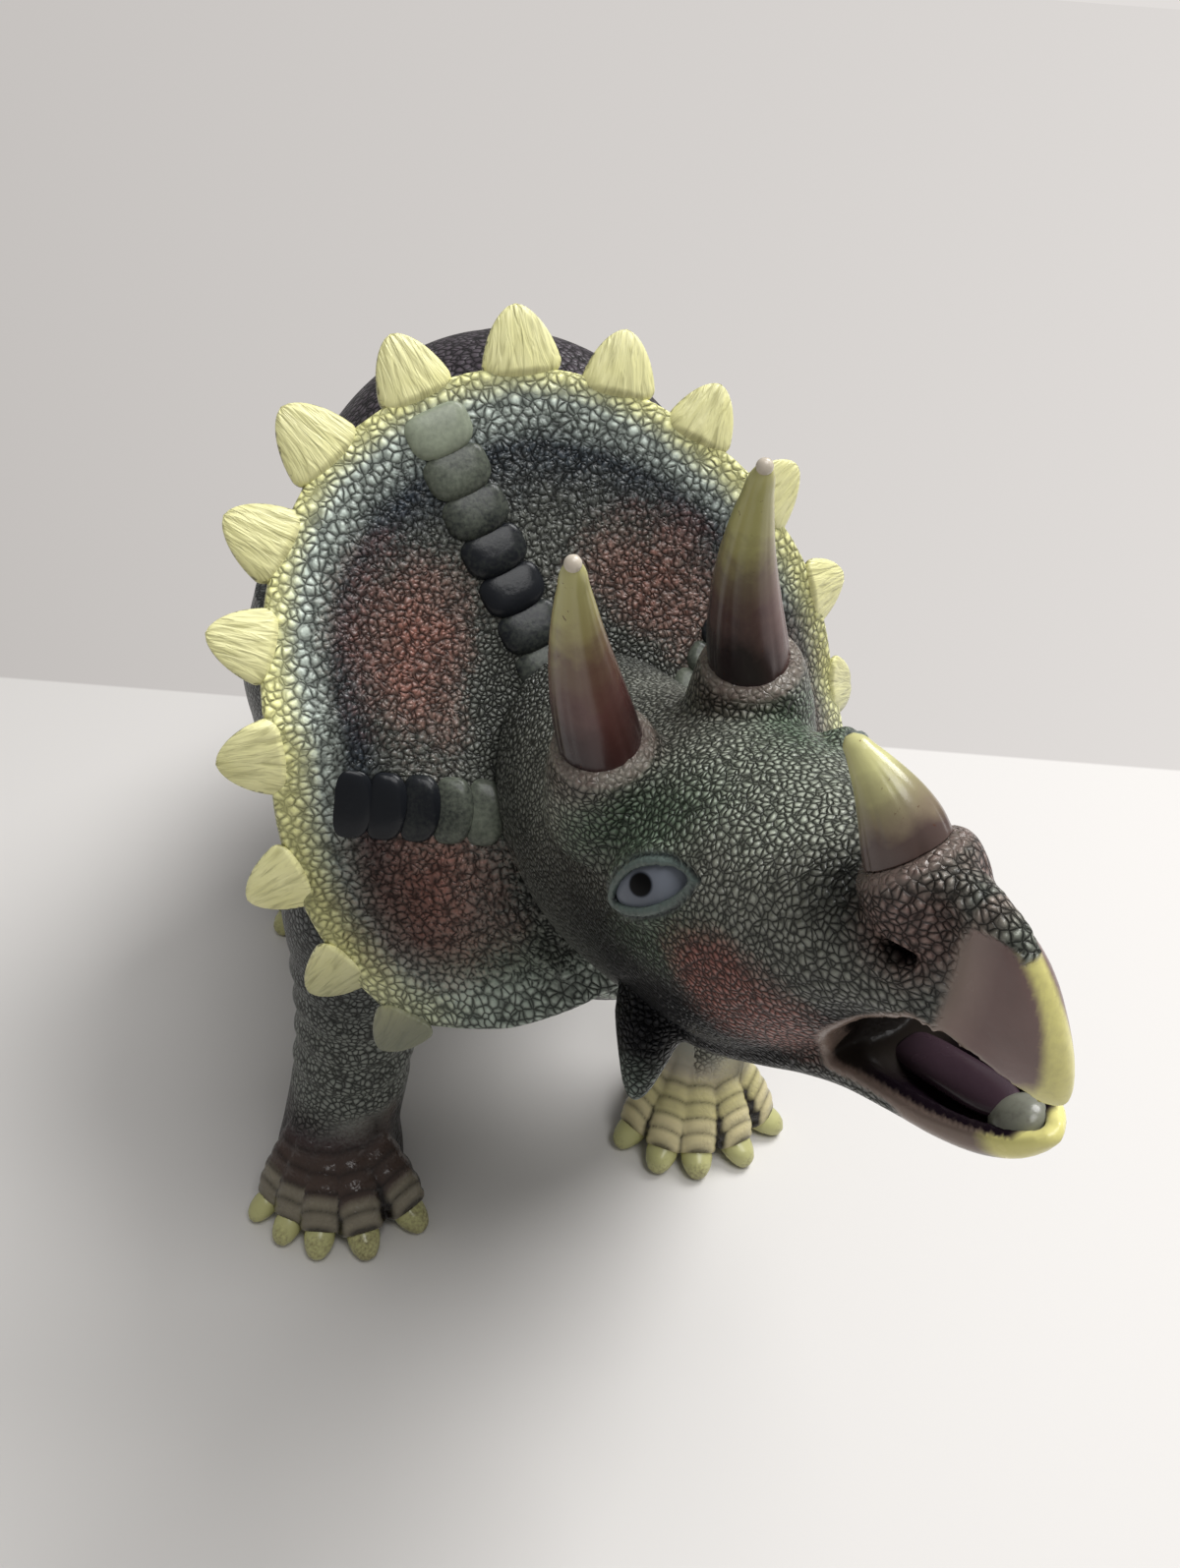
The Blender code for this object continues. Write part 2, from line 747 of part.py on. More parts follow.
def make_eye(name, mirror):
    # A ball pressed into a round socket; returns the socket's cutter.
    place = skull_place(eye_place_shares)
    place[0] = place[0] * mirror
    eye = piece(name, ball(name, eye_radius), head_turn, (0.35, 0.42, 0.46), 0.15)
    eye.location = place
    socket = add_object(name + " socket", ball(name + " socket", eye_radius + gap), cutters, head_turn)
    socket.location = place
    return socket


def scute(name, x, up, turn):
    # Raised block on the frill's front; turn is its row's lean from straight up.
    radius = math.hypot(x, up)
    angle = math.atan2(x, up)
    share = radius / frill_rim(angle)
    half = Vector((0.5 * scute_width, scute_height, 0.5 * scute_length))
    made = box(name, -half, half, head_turn)
    made.location = at_head(x, -frill_back(angle, share), up)
    made.rotation_euler = (0.0, turn, 0.0)
    return made


def make_scutes():
    made = []
    outer, high = (share * frill_radius for share in lateral_scute_place_shares)
    for index in range(scute_count):
        way = index * scute_pitch
        up = median_scute_top_share * frill_radius - way
        made.append(scute("median scute %d" % index, 0.0, up, 0.0))
        x = outer - way * math.sin(lateral_scute_lean)
        up = high - way * math.cos(lateral_scute_lean)
        for side in (1.0, -1.0):
            name = "lateral scute %d %+d" % (index, side)
            made.append(scute(name, side * x, up, side * lateral_scute_lean))
    return made


def make_head():
    shell = piece("head_shell", make_frill_mesh(), head_turn, (0.16, 0.20, 0.17), 0.45)
    sheet = shell.modifiers.new("frill wall", "SOLIDIFY")
    sheet.thickness = frill_thickness
    sheet.offset = 1.0
    rings = head_rings(skull_shares, skull_half_width, 0.0, around_skull)
    skull = add_object("skull form", loft("skull form", rings), cutters, head_turn)
    smooth(skull)
    rings = head_rings(jaw_shares, jaw_half_width, 0.0, around_hollow)
    jaw = add_object("jaw form", loft("jaw form", rings), cutters, head_turn)
    smooth(jaw)
    centre = (0.0, 0.0, 0.0)
    inside = frill_forward - boss_in_frill_share * frill_thickness
    boss = rod("neck boss", neck_radius, gap, inside, head_turn, centre, head_out)
    plug = snap_plug("neck plug", neck_bore, head_turn, centre, head_out)
    jugals = []
    for mirror in (1.0, -1.0):
        base = skull_place(jugal_place_shares)
        base[0] = base[0] * mirror
        aim = (jugal_aim_shares[0] * mirror, -jugal_aim_shares[1], jugal_aim_shares[2])
        rings = horn_rings(jugal_length, jugal_radius, 0.0, base, aim, 0.0)
        jugals.append(add_object("jugal %+d" % mirror, loft("jugal", rings), cutters, head_turn))
    sockets = []
    collars = []
    brow = (brow_place_shares, brow_aim_shares, brow_horn_length, brow_horn_radius, brow_horn_bow)
    nose = (nose_place_shares, nose_aim_shares, nose_horn_length, nose_horn_radius, nose_horn_bow)
    for name, sizes, mirror in (
        ("brow_horn_left", brow, 1.0),
        ("brow_horn_right", brow, -1.0),
        ("nose_horn", nose, 1.0),
    ):
        collar, hole = make_horn(name, sizes, mirror)
        collars.append(collar)
        sockets.append(hole)
    for name, mirror in (("eye_left", 1.0), ("eye_right", -1.0)):
        sockets.append(make_eye(name, mirror))
    rings = head_rings(skull_shares[1:skull_hollow_rings], skull_half_width, head_wall, around_hollow)
    hollow = add_object("skull hollow", loft("skull hollow", rings), cutters, head_turn)
    smooth(hollow)
    reach = frill_forward + skull_shares[2][0] * skull_length
    hole = plug_hole("neck hole", neck_bore, head_turn, centre, head_out, reach)
    combine(shell, "UNION", [skull, jaw, boss, plug] + jugals + collars + make_scutes())
    combine(shell, "DIFFERENCE", [hollow, hole] + sockets)
    return shell


def set_origin():
    # Puts the origin on the floor under the middle of the figure's box.
    bpy.context.view_layer.update()
    graph = bpy.context.evaluated_depsgraph_get()
    low = Vector((math.inf, math.inf))
    high = -low
    for made in parts.objects:
        if made.type != "MESH":
            continue
        seen = made.evaluated_get(graph)
        for corner in seen.data.vertices:
            place = made.matrix_world @ corner.co
            for axis in (0, 1):
                low[axis] = min(low[axis], place[axis])
                high[axis] = max(high[axis], place[axis])
    figure.location = (-0.5 * (low[0] + high[0]), -0.5 * (low[1] + high[1]), 0.0)
    bpy.context.view_layer.update()


make_torso()
skin = (0.13, 0.16, 0.14)
for name, side, outboard in (
    ("foreleg_left", 1.0, forefoot_outboard_left),
    ("foreleg_right", -1.0, forefoot_outboard_right),
):
    make_leg(name, side, seats["shoulder"], foreleg_shares, foreleg_half_width, shoulder_swell,
             (outboard, forefoot_back), 5, skin)
for name, side in (("hindleg_left", 1.0), ("hindleg_right", -1.0)):
    make_leg(name, side, seats["hip"], hindleg_shares, hindleg_half_width, hip_swell,
             (hindfoot_outboard, hindfoot_back), 4, skin)
make_tail()
make_head()
set_origin()
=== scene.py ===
# Horned toy dinosaur: painted soft-vinyl skin, horns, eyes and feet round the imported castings.
import json
import math

import bpy
import numpy as np
from mathutils import Matrix


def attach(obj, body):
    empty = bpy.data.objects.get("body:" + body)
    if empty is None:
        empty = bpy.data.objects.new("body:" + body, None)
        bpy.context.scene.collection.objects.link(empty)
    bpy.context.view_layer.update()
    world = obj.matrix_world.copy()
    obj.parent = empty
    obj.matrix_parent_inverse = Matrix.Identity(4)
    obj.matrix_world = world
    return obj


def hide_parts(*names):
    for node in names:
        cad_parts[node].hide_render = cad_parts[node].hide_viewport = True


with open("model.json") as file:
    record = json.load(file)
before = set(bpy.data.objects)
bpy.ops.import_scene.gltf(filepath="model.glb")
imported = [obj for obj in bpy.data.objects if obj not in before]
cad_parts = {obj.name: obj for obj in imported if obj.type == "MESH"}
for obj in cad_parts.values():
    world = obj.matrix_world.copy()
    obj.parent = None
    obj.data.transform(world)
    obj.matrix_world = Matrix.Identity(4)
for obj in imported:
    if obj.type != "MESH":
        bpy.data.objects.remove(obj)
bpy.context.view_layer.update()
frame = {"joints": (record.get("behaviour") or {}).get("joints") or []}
scene = bpy.context.scene
mm = 0.001
joints = {joint["name"]: joint for joint in frame["joints"]}
mirrors = {"left": 1.0, "right": -1.0}


# curves and surfaces
def through(knots, values, t):
    # smooth curve through the knots: cubic pieces whose slopes are the mean of their neighbours'
    knots, values = np.asarray(knots, float), np.asarray(values, float)
    slopes = np.gradient(values, knots, axis=0)
    t = np.clip(np.asarray(t, float), knots[0], knots[-1])
    i = np.clip(np.searchsorted(knots, t, side="right") - 1, 0, len(knots) - 2)
    span = knots[i + 1] - knots[i]
    s = (t - knots[i]) / span
    if values.ndim > 1:
        s, span = s[..., None], span[..., None]
    rise = values[i + 1] - values[i]
    a = span * slopes[i] - rise
    b = rise - span * slopes[i + 1]
    return values[i] * (1 - s) + values[i + 1] * s + s * (1 - s) * (a * (1 - s) + b * s)


def lofted(table, rows):
    # the table's rows joined by smooth curves, read at even steps of its first column
    table = np.asarray(table, float)
    return through(table[:, 0], table, np.linspace(table[0, 0], table[-1, 0], rows))


def fade(low, high, value):
    # 0 below low, 1 above high, and an even S between them
    s = np.clip((value - low) / (high - low), 0, 1)
    return s * s * (3 - 2 * s)


def blob(points, centre, radii, edge):
    # 1 inside an ellipsoid, fading to 0 outside it; edge is the soft share of its radius
    reach = np.sqrt((((points - np.asarray(centre)) / np.asarray(radii)) ** 2).sum(-1))
    return 1 - fade(1 - edge, 1 + edge, reach)


def blobs(points, table):
    return sum(strength * blob(points, *shape) for strength, *shape in table)


def unit(vector):
    return np.asarray(vector, float) / np.linalg.norm(vector)


def fullTurn(count):
    return np.linspace(0, 2 * math.pi, count, endpoint=False)


def squared(wave, power):
    # sine or cosine raised to a power with its sign kept: under one it turns a circle squarer
    return np.sign(wave) * np.abs(wave) ** power


def ringGrid(centres, across, up, halfWidths, halfHeights, around, square=1.0, narrow=0.0):
    # rings on a path: cosine across, sine up, each raised to the power square; narrow tapers the top
    turn = fullTurn(around)
    square = np.reshape(square, (-1, 1))
    c, s = squared(np.cos(turn), square), squared(np.sin(turn), square)
    wide = np.reshape(halfWidths, (-1, 1)) * c * (1 - np.reshape(narrow, (-1, 1)) * s)
    high = np.reshape(halfHeights, (-1, 1)) * s
    return (np.asarray(centres)[:, None] + wide[..., None] * np.asarray(across).reshape(-1, 1, 3)
            + high[..., None] * np.asarray(up).reshape(-1, 1, 3))


def tubeSkin(grid):
    # closed skin of a grid of rings: quads between rings and a fan to a pole at each end
    rows, around, _ = grid.shape
    points = np.concatenate([grid.reshape(-1, 3), grid[:1].mean(1), grid[-1:].mean(1)])
    column = np.arange(around)
    following = (column + 1) % around
    row = np.arange(rows - 1)[:, None] * around
    quads = np.stack([row + column, row + following, row + around + following, row + around + column], -1)
    quads = quads.reshape(-1, 4)
    last = (rows - 1) * around
    first = np.stack([np.full(around, rows * around), following, column], -1)
    end = np.stack([np.full(around, rows * around + 1), last + column, last + following], -1)
    triangles = np.concatenate([first, end])
    corners = points[quads[:, [0, 1, 2]]], points[quads[:, [0, 2, 3]]], points[triangles]
    volume = sum((t[:, 0] * np.cross(t[:, 1], t[:, 2])).sum() for t in corners)
    if volume < 0:
        quads, triangles = quads[:, ::-1], triangles[:, ::-1]
    return points, quads.tolist() + triangles.tolist()


def addMesh(name, skins):
    points, faces, start = [], [], 0
    for part, corners in skins:
        points.append(part)
        faces += [[corner + start for corner in face] for face in corners]
        start += len(part)
    mesh = bpy.data.meshes.new(name)
    mesh.from_pydata(np.concatenate(points).tolist(), [], faces)
    mesh.shade_smooth()
    made = bpy.data.objects.new(name, mesh)
    scene.collection.objects.link(made)
    return made


def addRemesh(made, voxel):
    remesh = made.modifiers.new("remesh", "REMESH")
    remesh.mode, remesh.voxel_size, remesh.use_smooth_shade = "VOXEL", voxel, True


def fused(name, skins, voxel, relax, cuts=()):
    # one closed skin round overlapping forms: voxel remesh, cuts taken out, remeshed again, then relaxed
    made = addMesh(name, skins)
    voxel = voxel * 1.0
    addRemesh(made, voxel)
    tools = [addMesh(name + "Cut", [skin]) for skin in cuts]
    for tool in tools:
        cut = made.modifiers.new("cut", "BOOLEAN")
        cut.operation, cut.object, cut.solver = "DIFFERENCE", tool, "MANIFOLD"
    if tools:
        addRemesh(made, voxel)
    smooth = made.modifiers.new("relax", "SMOOTH")
    smooth.factor, smooth.iterations = 0.5, relax
    bpy.context.view_layer.update()
    seen = made.evaluated_get(bpy.context.evaluated_depsgraph_get())
    mesh = bpy.data.meshes.new_from_object(seen)
    for old in [made] + tools:
        bpy.data.objects.remove(old)
    mesh.name = name
    finished = bpy.data.objects.new(name, mesh)
    scene.collection.objects.link(finished)
    print(name, len(mesh.vertices), "points", len(mesh.polygons), "faces")
    return finished


def readPoints(made):
    points, normals = np.empty((2, len(made.data.vertices) * 3))
    made.data.vertices.foreach_get("co", points)
    made.data.vertex_normals.foreach_get("vector", normals)
    return points.reshape(-1, 3), normals.reshape(-1, 3)


def writePoints(made, points):
    made.data.vertices.foreach_set("co", points.astype(np.float32).ravel())
    made.data.update()


def mark(made, **shares):
    # one number a point, read by the materials as paint and form masks
    for name, values in shares.items():
        layer = made.data.attributes.new(name, "FLOAT", "POINT")
        values = np.broadcast_to(values, len(made.data.vertices))
        layer.data.foreach_set("value", np.ascontiguousarray(values, np.float32))


def finishPiece(made, body, material, slot, *nodes):
    made.data.materials.clear()
    made.data.materials.append(material)
    made.data.shade_smooth()
    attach(made, body)
    if nodes:
        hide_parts(*nodes)


# materials
def linear(code, alpha=1.0):
    # sRGB hex to the linear colour that the shader works in
    parts = [int(code[i:i + 2], 16) / 255 for i in (1, 3, 5)]
    return (*[p / 12.92 if p <= 0.04045 else ((p + 0.055) / 1.055) ** 2.4 for p in parts], alpha)


def fill(tree, node, inputs):
    # links a socket or sets a constant value on each of the node's own sockets
    for name, value in inputs.items():
        if isinstance(value, bpy.types.NodeSocket):
            tree.links.new(value, node.inputs[name])
        else:
            node.inputs[name].default_value = value


def add(tree, kind, inputs=None, **settings):
    made = tree.nodes.new(kind)
    for name, value in settings.items():
        setattr(made, name, value)
    fill(tree, made, inputs or {})
    return made


def calc(tree, operation, *values, clamp=False):
    return add(tree, "ShaderNodeMath", dict(enumerate(values)), operation=operation, use_clamp=clamp).outputs[0]


def vector(tree, operation, a, b):
    other = "Scale" if operation == "SCALE" else 1
    made = add(tree, "ShaderNodeVectorMath", {0: a, other: b}, operation=operation)
    return made.outputs["Value" if operation == "DOT_PRODUCT" else "Vector"]


def remap(tree, value, low, high, first=0.0, last=1.0):
    # first at low, last at high, straight between them and level beyond
    inputs = {"Value": value, "From Min": low, "From Max": high, "To Min": first, "To Max": last}
    return add(tree, "ShaderNodeMapRange", inputs).outputs["Result"]


def noise(tree, place, size, detail, output="Fac", **more):
    inputs = {"Vector": place, "Scale": 1 / size, "Detail": detail, **more}
    return add(tree, "ShaderNodeTexNoise", inputs).outputs[output]


def mask(tree, name):
    return add(tree, "ShaderNodeAttribute", attribute_name=name).outputs["Fac"]


def objectPlace(tree):
    return add(tree, "ShaderNodeTexCoord").outputs["Object"]


def coat(tree, share, under, over):
    mixed = add(tree, "ShaderNodeMix", {"Factor": share, "A": under, "B": linear(over)}, data_type="RGBA")
    return mixed.outputs["Result"]


def bumped(tree, height, distance, strength, **more):
    inputs = {"Height": height, "Distance": distance * mm, "Strength": strength, **more}
    return add(tree, "ShaderNodeBump", inputs).outputs["Normal"]


def ramp(tree, level, stops):
    made = add(tree, "ShaderNodeValToRGB", {"Fac": level})
    elements = made.color_ramp.elements
    for end, (position, code) in ((elements[0], stops[0]), (elements[1], stops[-1])):
        end.position, end.color = position, linear(code)
    for position, code in stops[1:-1]:
        elements.new(position).color = linear(code)
    return made.outputs["Color"]


def newMaterial(name):
    made = bpy.data.materials.new(name)
    made.use_nodes = True
    return made, made.node_tree, made.node_tree.nodes["Principled BSDF"]


vinyl = {
    "roughness": 0.33, "roughnessDrift": 0.08,     # airbrushed soft PVC, wiped with a semi-gloss top coat
    "pebble": 1.2, "pebbleHeight": 0.75,           # skin bumps: mm from one to the next, mm high
    "coarse": 1.7,                                 # how much wider the frill's bumps are
    "edge": 0.34, "dome": 2.4, "corner": 0.3, "rounding": 0.35,      # shape of a bump, see pebbles
    "calmHeight": 0.85,                            # share of a bump's height that smooth parts lie at
    "drift": 0.7, "driftSize": 3.4,                # mm that noise pulls the bumps about, mm from swell to swell
    "cloud": 9.0, "speck": 0.9,                    # mm of the uneven spray and of its specks
    # the next two are painted shade: how much colour a bump's crevice keeps
    "shadedCrease": 0.16, "shadedCreaseFilled": 0.60,      # colour left in a crease, and where yellow has filled it
    "creaseShine": 0.14, "dullShine": 0.3,         # reflection left in a crease and on a dull coat
}


def pebbles(tree, place, size):
    # packed domes: an arc over the distance to the cell's edge, times one less part of the squared
    # distance to its seed, which rounds the corners off
    cells = {"Vector": place, "Scale": 1 / (size * mm)}
    toEdge, toSeed = (add(tree, "ShaderNodeTexVoronoi", cells, feature=feature).outputs["Distance"]
                      for feature in ("DISTANCE_TO_EDGE", "F1"))
    short = calc(tree, "POWER", remap(tree, toEdge, 0.0, vinyl["edge"], 1.0, 0.0), vinyl["dome"])
    bulge = remap(tree, calc(tree, "POWER", toSeed, 2.0), 0.0, vinyl["corner"], 1.0, vinyl["rounding"])
    return calc(tree, "MULTIPLY", calc(tree, "SUBTRACT", 1.0, short), bulge)


def paintedVinyl(name, base, coats, pebble, height, light=0.32, shine=0.42, onHead=False):
    # soft PVC, rotocast and airbrushed: each coat is a mask and a hex colour, sprayed over the last.
    # Moulded bumps are Voronoi cells pulled about by noise. Their crevices are painted darker as painted shade, and
    # their crowns lighter, partly as painted light and partly as the spray that catches only the crowns; light sets
    # how much lighter.
    # Where calm is 1 the skin is smooth. On the head the mask coarse widens the bumps and dull kills the shine.
    made, tree, shader = newMaterial(name)
    place = objectPlace(tree)
    swell = vector(tree, "SUBTRACT", noise(tree, place, vinyl["driftSize"] * mm, 2.0, "Color"), (0.5, 0.5, 0.5))
    spot = vector(tree, "ADD", place, vector(tree, "SCALE", swell, 2 * vinyl["drift"] * mm))
    rise = pebbles(tree, spot, pebble)
    if onHead:
        wide = pebbles(tree, spot, pebble * vinyl["coarse"])
        rise = add(tree, "ShaderNodeMix", {"Factor": mask(tree, "coarse"), "A": rise, "B": wide}).outputs["Result"]
    calm = mask(tree, "calm")
    rise = calc(tree, "MULTIPLY_ADD", calc(tree, "SUBTRACT", rise, vinyl["calmHeight"]),
                calc(tree, "SUBTRACT", 1.0, calm), vinyl["calmHeight"])
    cloud, speck = noise(tree, place, vinyl["cloud"] * mm, 3.0), noise(tree, place, vinyl["speck"] * mm, 2.0)
    shift = calc(tree, "ADD", calc(tree, "ADD", speck, cloud), -1.0)
    colour = linear(base)
    for maskName, code, breakup in coats:
        share = mask(tree, maskName)
        spread = calc(tree, "MULTIPLY_ADD", shift, breakup, share)
        edge = calc(tree, "MULTIPLY", share, 8.0, clamp=True)
        colour = coat(tree, calc(tree, "MULTIPLY", spread, edge, clamp=True), colour, code)
    # painted shade in the bumps' crevices and painted light on their crowns; where yellow fills a crevice less shade
    # is left
    crease = vinyl["shadedCrease"]
    if onHead:
        crease = remap(tree, mask(tree, "yellow"), 0.0, 1.0, crease, vinyl["shadedCreaseFilled"])
    shade = remap(tree, rise, 0.06, 0.60, crease, 1.0 + light)
    level = calc(tree, "MULTIPLY", shade, remap(tree, cloud, 0.0, 1.0, 0.84, 1.16))
    gloss = remap(tree, cloud, 0.0, 1.0, *(vinyl["roughness"] + s * vinyl["roughnessDrift"] for s in (-1, 1)))
    shown = remap(tree, rise, 0.05, 0.5, vinyl["creaseShine"], shine)
    if onHead:
        shown = calc(tree, "MULTIPLY", shown, remap(tree, mask(tree, "dull"), 0.0, 1.0, 1.0, vinyl["dullShine"]))
    fill(tree, shader, {
        "Base Color": vector(tree, "SCALE", colour, level),
        "Roughness": calc(tree, "MULTIPLY_ADD", calm, -0.08, gloss),
        "Normal": bumped(tree, speck, 0.05, 0.7, Normal=bumped(tree, rise, height, 1.0)),
        "Specular IOR Level": shown,
    })
    return made


# head frame
neck = {"rise": 35.0, "twist": 22.5, "frillForward": 20.0, "frillLift": 30.0}
neckPivot, neckOut = (np.array(joints["neck_swivel"][key]) for key in ("pos_m", "axis"))
headAxes = np.array(Matrix.Rotation(-math.radians(neck["rise"]), 3, "X")
                    @ Matrix.Rotation(-math.radians(neck["twist"]), 3, "Y"))
headShift = np.array([0.0, -neck["frillForward"], neck["frillLift"]])


def fromHead(points):
    # head millimetres (left, back, up from the frill's centre) to the shared frame
    return neckPivot + ((np.asarray(points) + headShift) * mm) @ headAxes.T


def toHead(points):
    return ((points - neckPivot) @ headAxes) / mm - headShift


def headSkin(grid):
    return tubeSkin(fromHead(grid))


def headTube(table, around, rows):
    # rows of forward, top, bottom, half width, squareness, top narrowing, joined by smooth curves
    forward, top, low, wide, square, narrow = lofted(table, rows).T
    centres = np.stack([forward * 0, -forward, (top + low) / 2], -1)
    return headSkin(ringGrid(centres, (1, 0, 0), (0, 0, 1), wide, (top - low) / 2, around, square, narrow))


def axisTube(start, aim, stations, around=48):
    # round rings on a straight axis: stations are (length along, radius)
    aim = unit(aim)
    side = unit(np.cross(aim, (0.0, 1.0, 0.0) if abs(aim[1]) < 0.99 else (0.0, 0.0, 1.0)))
    along, radius = np.asarray(stations, float).T
    return ringGrid(start + along[:, None] * aim, side, np.cross(side, aim), radius, radius, around)


skull = [
    # forward, top, bottom, half width, squareness, top narrowing (mm)
    (-6.0, 13.0, -66.0, 27.6, 1.0, 0.0), (11.5, 4.6, -68.0, 27.4, 1.0, 0.0), (29.4, 0.0, -69.2, 26.8, 0.98, 0.0),
    (48.0, -4.6, -68.6, 26.2, 0.96, 0.0), (62.0, -8.6, -65.8, 24.4, 0.96, 0.0), (75.0, -13.6, -61.9, 21.2, 0.96, 0.0),
    (88.3, -20.8, -56.6, 17.4, 0.96, 0.02), (98.6, -26.0, -51.5, 13.8, 0.96, 0.05),
    (106.0, -28.4, -53.0, 10.6, 1.0, 0.10), (112.0, -29.2, -58.0, 8.3, 1.05, 0.15),
    (118.0, -29.0, -63.2, 5.6, 1.15, 0.18), (121.6, -29.4, -60.4, 4.7, 1.15, 0.16),
    (125.0, -31.4, -54.0, 3.6, 1.1, 0.10), (127.5, -35.4, -47.0, 2.3, 1.0, 0.0), (128.5, -38.4, -42.4, 0.8, 1.0, 0.0),
]
jaw = [
    (14.0, -46.0, -68.5, 22.0, 1.0, 0.0), (40.0, -48.0, -69.0, 21.0, 1.0, 0.0), (58.0, -50.0, -67.5, 18.0, 1.0, 0.0),
    (70.0, -51.0, -67.0, 15.2, 1.0, 0.0), (80.0, -52.0, -67.6, 13.0, 0.95, 0.0), (90.0, -56.0, -69.6, 11.0, 0.9, 0.0),
    (98.0, -60.0, -72.0, 9.2, 0.9, 0.0), (104.5, -63.0, -72.8, 7.0, 0.9, 0.0), (109.5, -65.2, -71.8, 4.6, 0.95, 0.0),
    (113.0, -66.6, -69.8, 1.6, 1.0, 0.0),
]
mouth = {
    "side": [(-80.0, -57.6), (-83.5, -54.6), (-88.0, -51.6), (-92.0, -49.9), (-97.5, -48.3), (-104.0, -46.9),
             (-109.6, -46.4), (-112.3, -48.8), (-114.5, -52.5), (-116.5, -57.0), (-118.6, -62.4), (-126.0, -65.0),
             (-126.0, -70.5), (-112.0, -67.7), (-108.0, -67.2), (-103.0, -66.0), (-97.5, -64.4), (-92.0, -62.1),
             (-86.0, -59.6), (-82.0, -58.6)],
    "upper": 11,             # points of that outline along the upper lip, from the corner to the beak's tip
    "inside": [(80.5, -55.5, -60.0, 6.5, 1.0, 0.0), (85.0, -49.0, -64.0, 8.6, 0.9, 0.0),
               (92.0, -44.0, -67.0, 8.4, 0.85, 0.0), (98.0, -42.0, -69.0, 7.4, 0.85, 0.0),
               (103.0, -41.5, -70.2, 5.9, 0.85, 0.0), (107.5, -42.5, -69.9, 4.1, 0.9, 0.0),
               (110.5, -46.0, -68.6, 2.6, 1.0, 0.0), (113.5, -52.0, -60.0, 1.0, 1.0, 0.0)],
}
beakEdge = {
    "lip": ([-118.6, -116.5, -114.5, -112.3, -109.6], [-62.9, -57.4, -53.0, -49.4, -46.9]),      # back, up
    "crest": [(112, -30.6, 3.4), (117, -30.0, 3.7), (121, -30.6, 3.4), (124, -32.4, 2.9), (126.4, -35.4, 2.2),
              (127.6, -38.6, 1.3), (128.0, -40.0, 0.5)],                                  # forward, up, radius
    "crestBack": 0.9, "crestWide": 1.5,
}
frill = {
    "radius": 76.0, "thick": 5.6, "dish": 9.0, "sweep": 33.0,
    "rim": [(0, 1.0), (18, 0.99), (34.5, 0.945), (51, 0.895), (70, 0.865), (91, 0.92), (110, 0.99), (125, 1.04),
            (141, 0.94), (158, 0.80), (180, 0.72)],                                 # degrees from the top, share
    "back": [(0, 0.0), (65, 0.0), (91, 0.5), (110, 1.0), (126, 1.0), (141, 0.5), (158, 0.1), (180, 0.0)],
    "rootGrow": (1.0, 0.7, -1.2),                            # mm round the skull's first rows for the fillet
    "stub": [(0, 38), (4, 38), (12, 36)],
}
horns = {
    "browPlace": (14.56, -49.15, -8.9), "browAim": (0.02, -0.78, 0.62), "browLength": 54.0, "browRadius": 7.3,
    "nosePlace": (0.0, -111.6, -33.9), "noseAim": (0.0, 0.04, 1.0), "noseLength": 23.4, "noseRadius": 6.0,
    "seat": 7.3, "collar": 2.0, "browCollar": 12.4, "noseCollar": 7.2,
}
cheekHorn = {
    "place": (24.0, -29.6, -55.0), "aim": (0.64, 0.06, -0.77),
    "stations": [(-5, 7.4), (0, 7.0), (4, 5.9), (8, 4.6), (12, 3.2), (14.6, 1.9), (15.8, 0.7)],
}
eye = {
    "place": (22.6, -68.0, -24.0), "facing": (0.80, -0.57, 0.19),      # the opening's middle on the ball
    "half": (9.6, 6.6, 5.6), "lidGrow": 1.1,                           # ball: half sizes along, up and out
    "long": 9.0, "high": 3.05, "arch": 0.8, "sink": 0.3, "shift": 0.7,      # almond opening: half length, half height
    "pupil": (-0.2, 1.0), "pupilRadius": 1.7, "pupilWide": 1.22,
}
eyeOut = unit(eye["facing"])
eyeAlong = -unit(np.cross((0.0, 0.0, 1.0), eyeOut))                    # towards the snout
eyeUp = np.cross(eyeAlong, eyeOut)
eyeAxes = np.stack([eyeAlong, eyeUp * np.sign(eyeUp[2]), eyeOut])


def mirrored(place, mirror):
    return np.array(place) * (mirror, 1, 1)


def fromEye(local, mirror):
    # along, up and out millimetres from the opening's middle to the eye's skin
    return headSkin(mirrored(np.asarray(eye["place"]) + np.asarray(local) @ eyeAxes, mirror))


def toEye(p):
    return (np.stack([np.abs(p[:, 0]), p[:, 1], p[:, 2]], -1) - eye["place"]) @ eyeAxes.T


def almondReach(local):
    # 1 on the opening's edge: two parabolas that meet at its corners, bent up by an arch
    s = (local[:, 0] - eye["shift"]) / eye["long"]
    u = (local[:, 1] - eye["arch"] * (1 - s ** 2) + eye["sink"]) / eye["high"]
    return s ** 2 + np.abs(u)


def eyeBall(grow, mirror):
    # ellipsoid: cosine and sine of two angles times its half sizes, its out pole on the opening's middle
    a, b = np.meshgrid(np.linspace(0.02, math.pi - 0.02, 60), fullTurn(96), indexing="ij")
    long, high, deep = np.array(eye["half"]) + grow
    out = deep * np.cos(a) - eye["half"][2]
    return fromEye(np.stack([long * np.sin(a) * np.cos(b), high * np.sin(a) * np.sin(b), out], -1), mirror)


def eyeOpening(mirror):
    # the almond's outline carried out along the eye's facing
    turn = fullTurn(64)
    rise = np.sin(turn) ** 2
    s = eye["long"] * np.cos(turn) + eye["shift"]
    u = eye["high"] * np.sign(np.sin(turn)) * rise + eye["arch"] * rise - eye["sink"]
    out = np.linspace(-4.6, 7.0, 4)[:, None]
    return fromEye(np.stack(np.broadcast_arrays(s, u, out), -1), mirror)


def frillRim(turn):
    degrees, shares = np.array(frill["rim"]).T
    return frill["radius"] * np.interp(np.abs(np.degrees(turn)), degrees, shares)


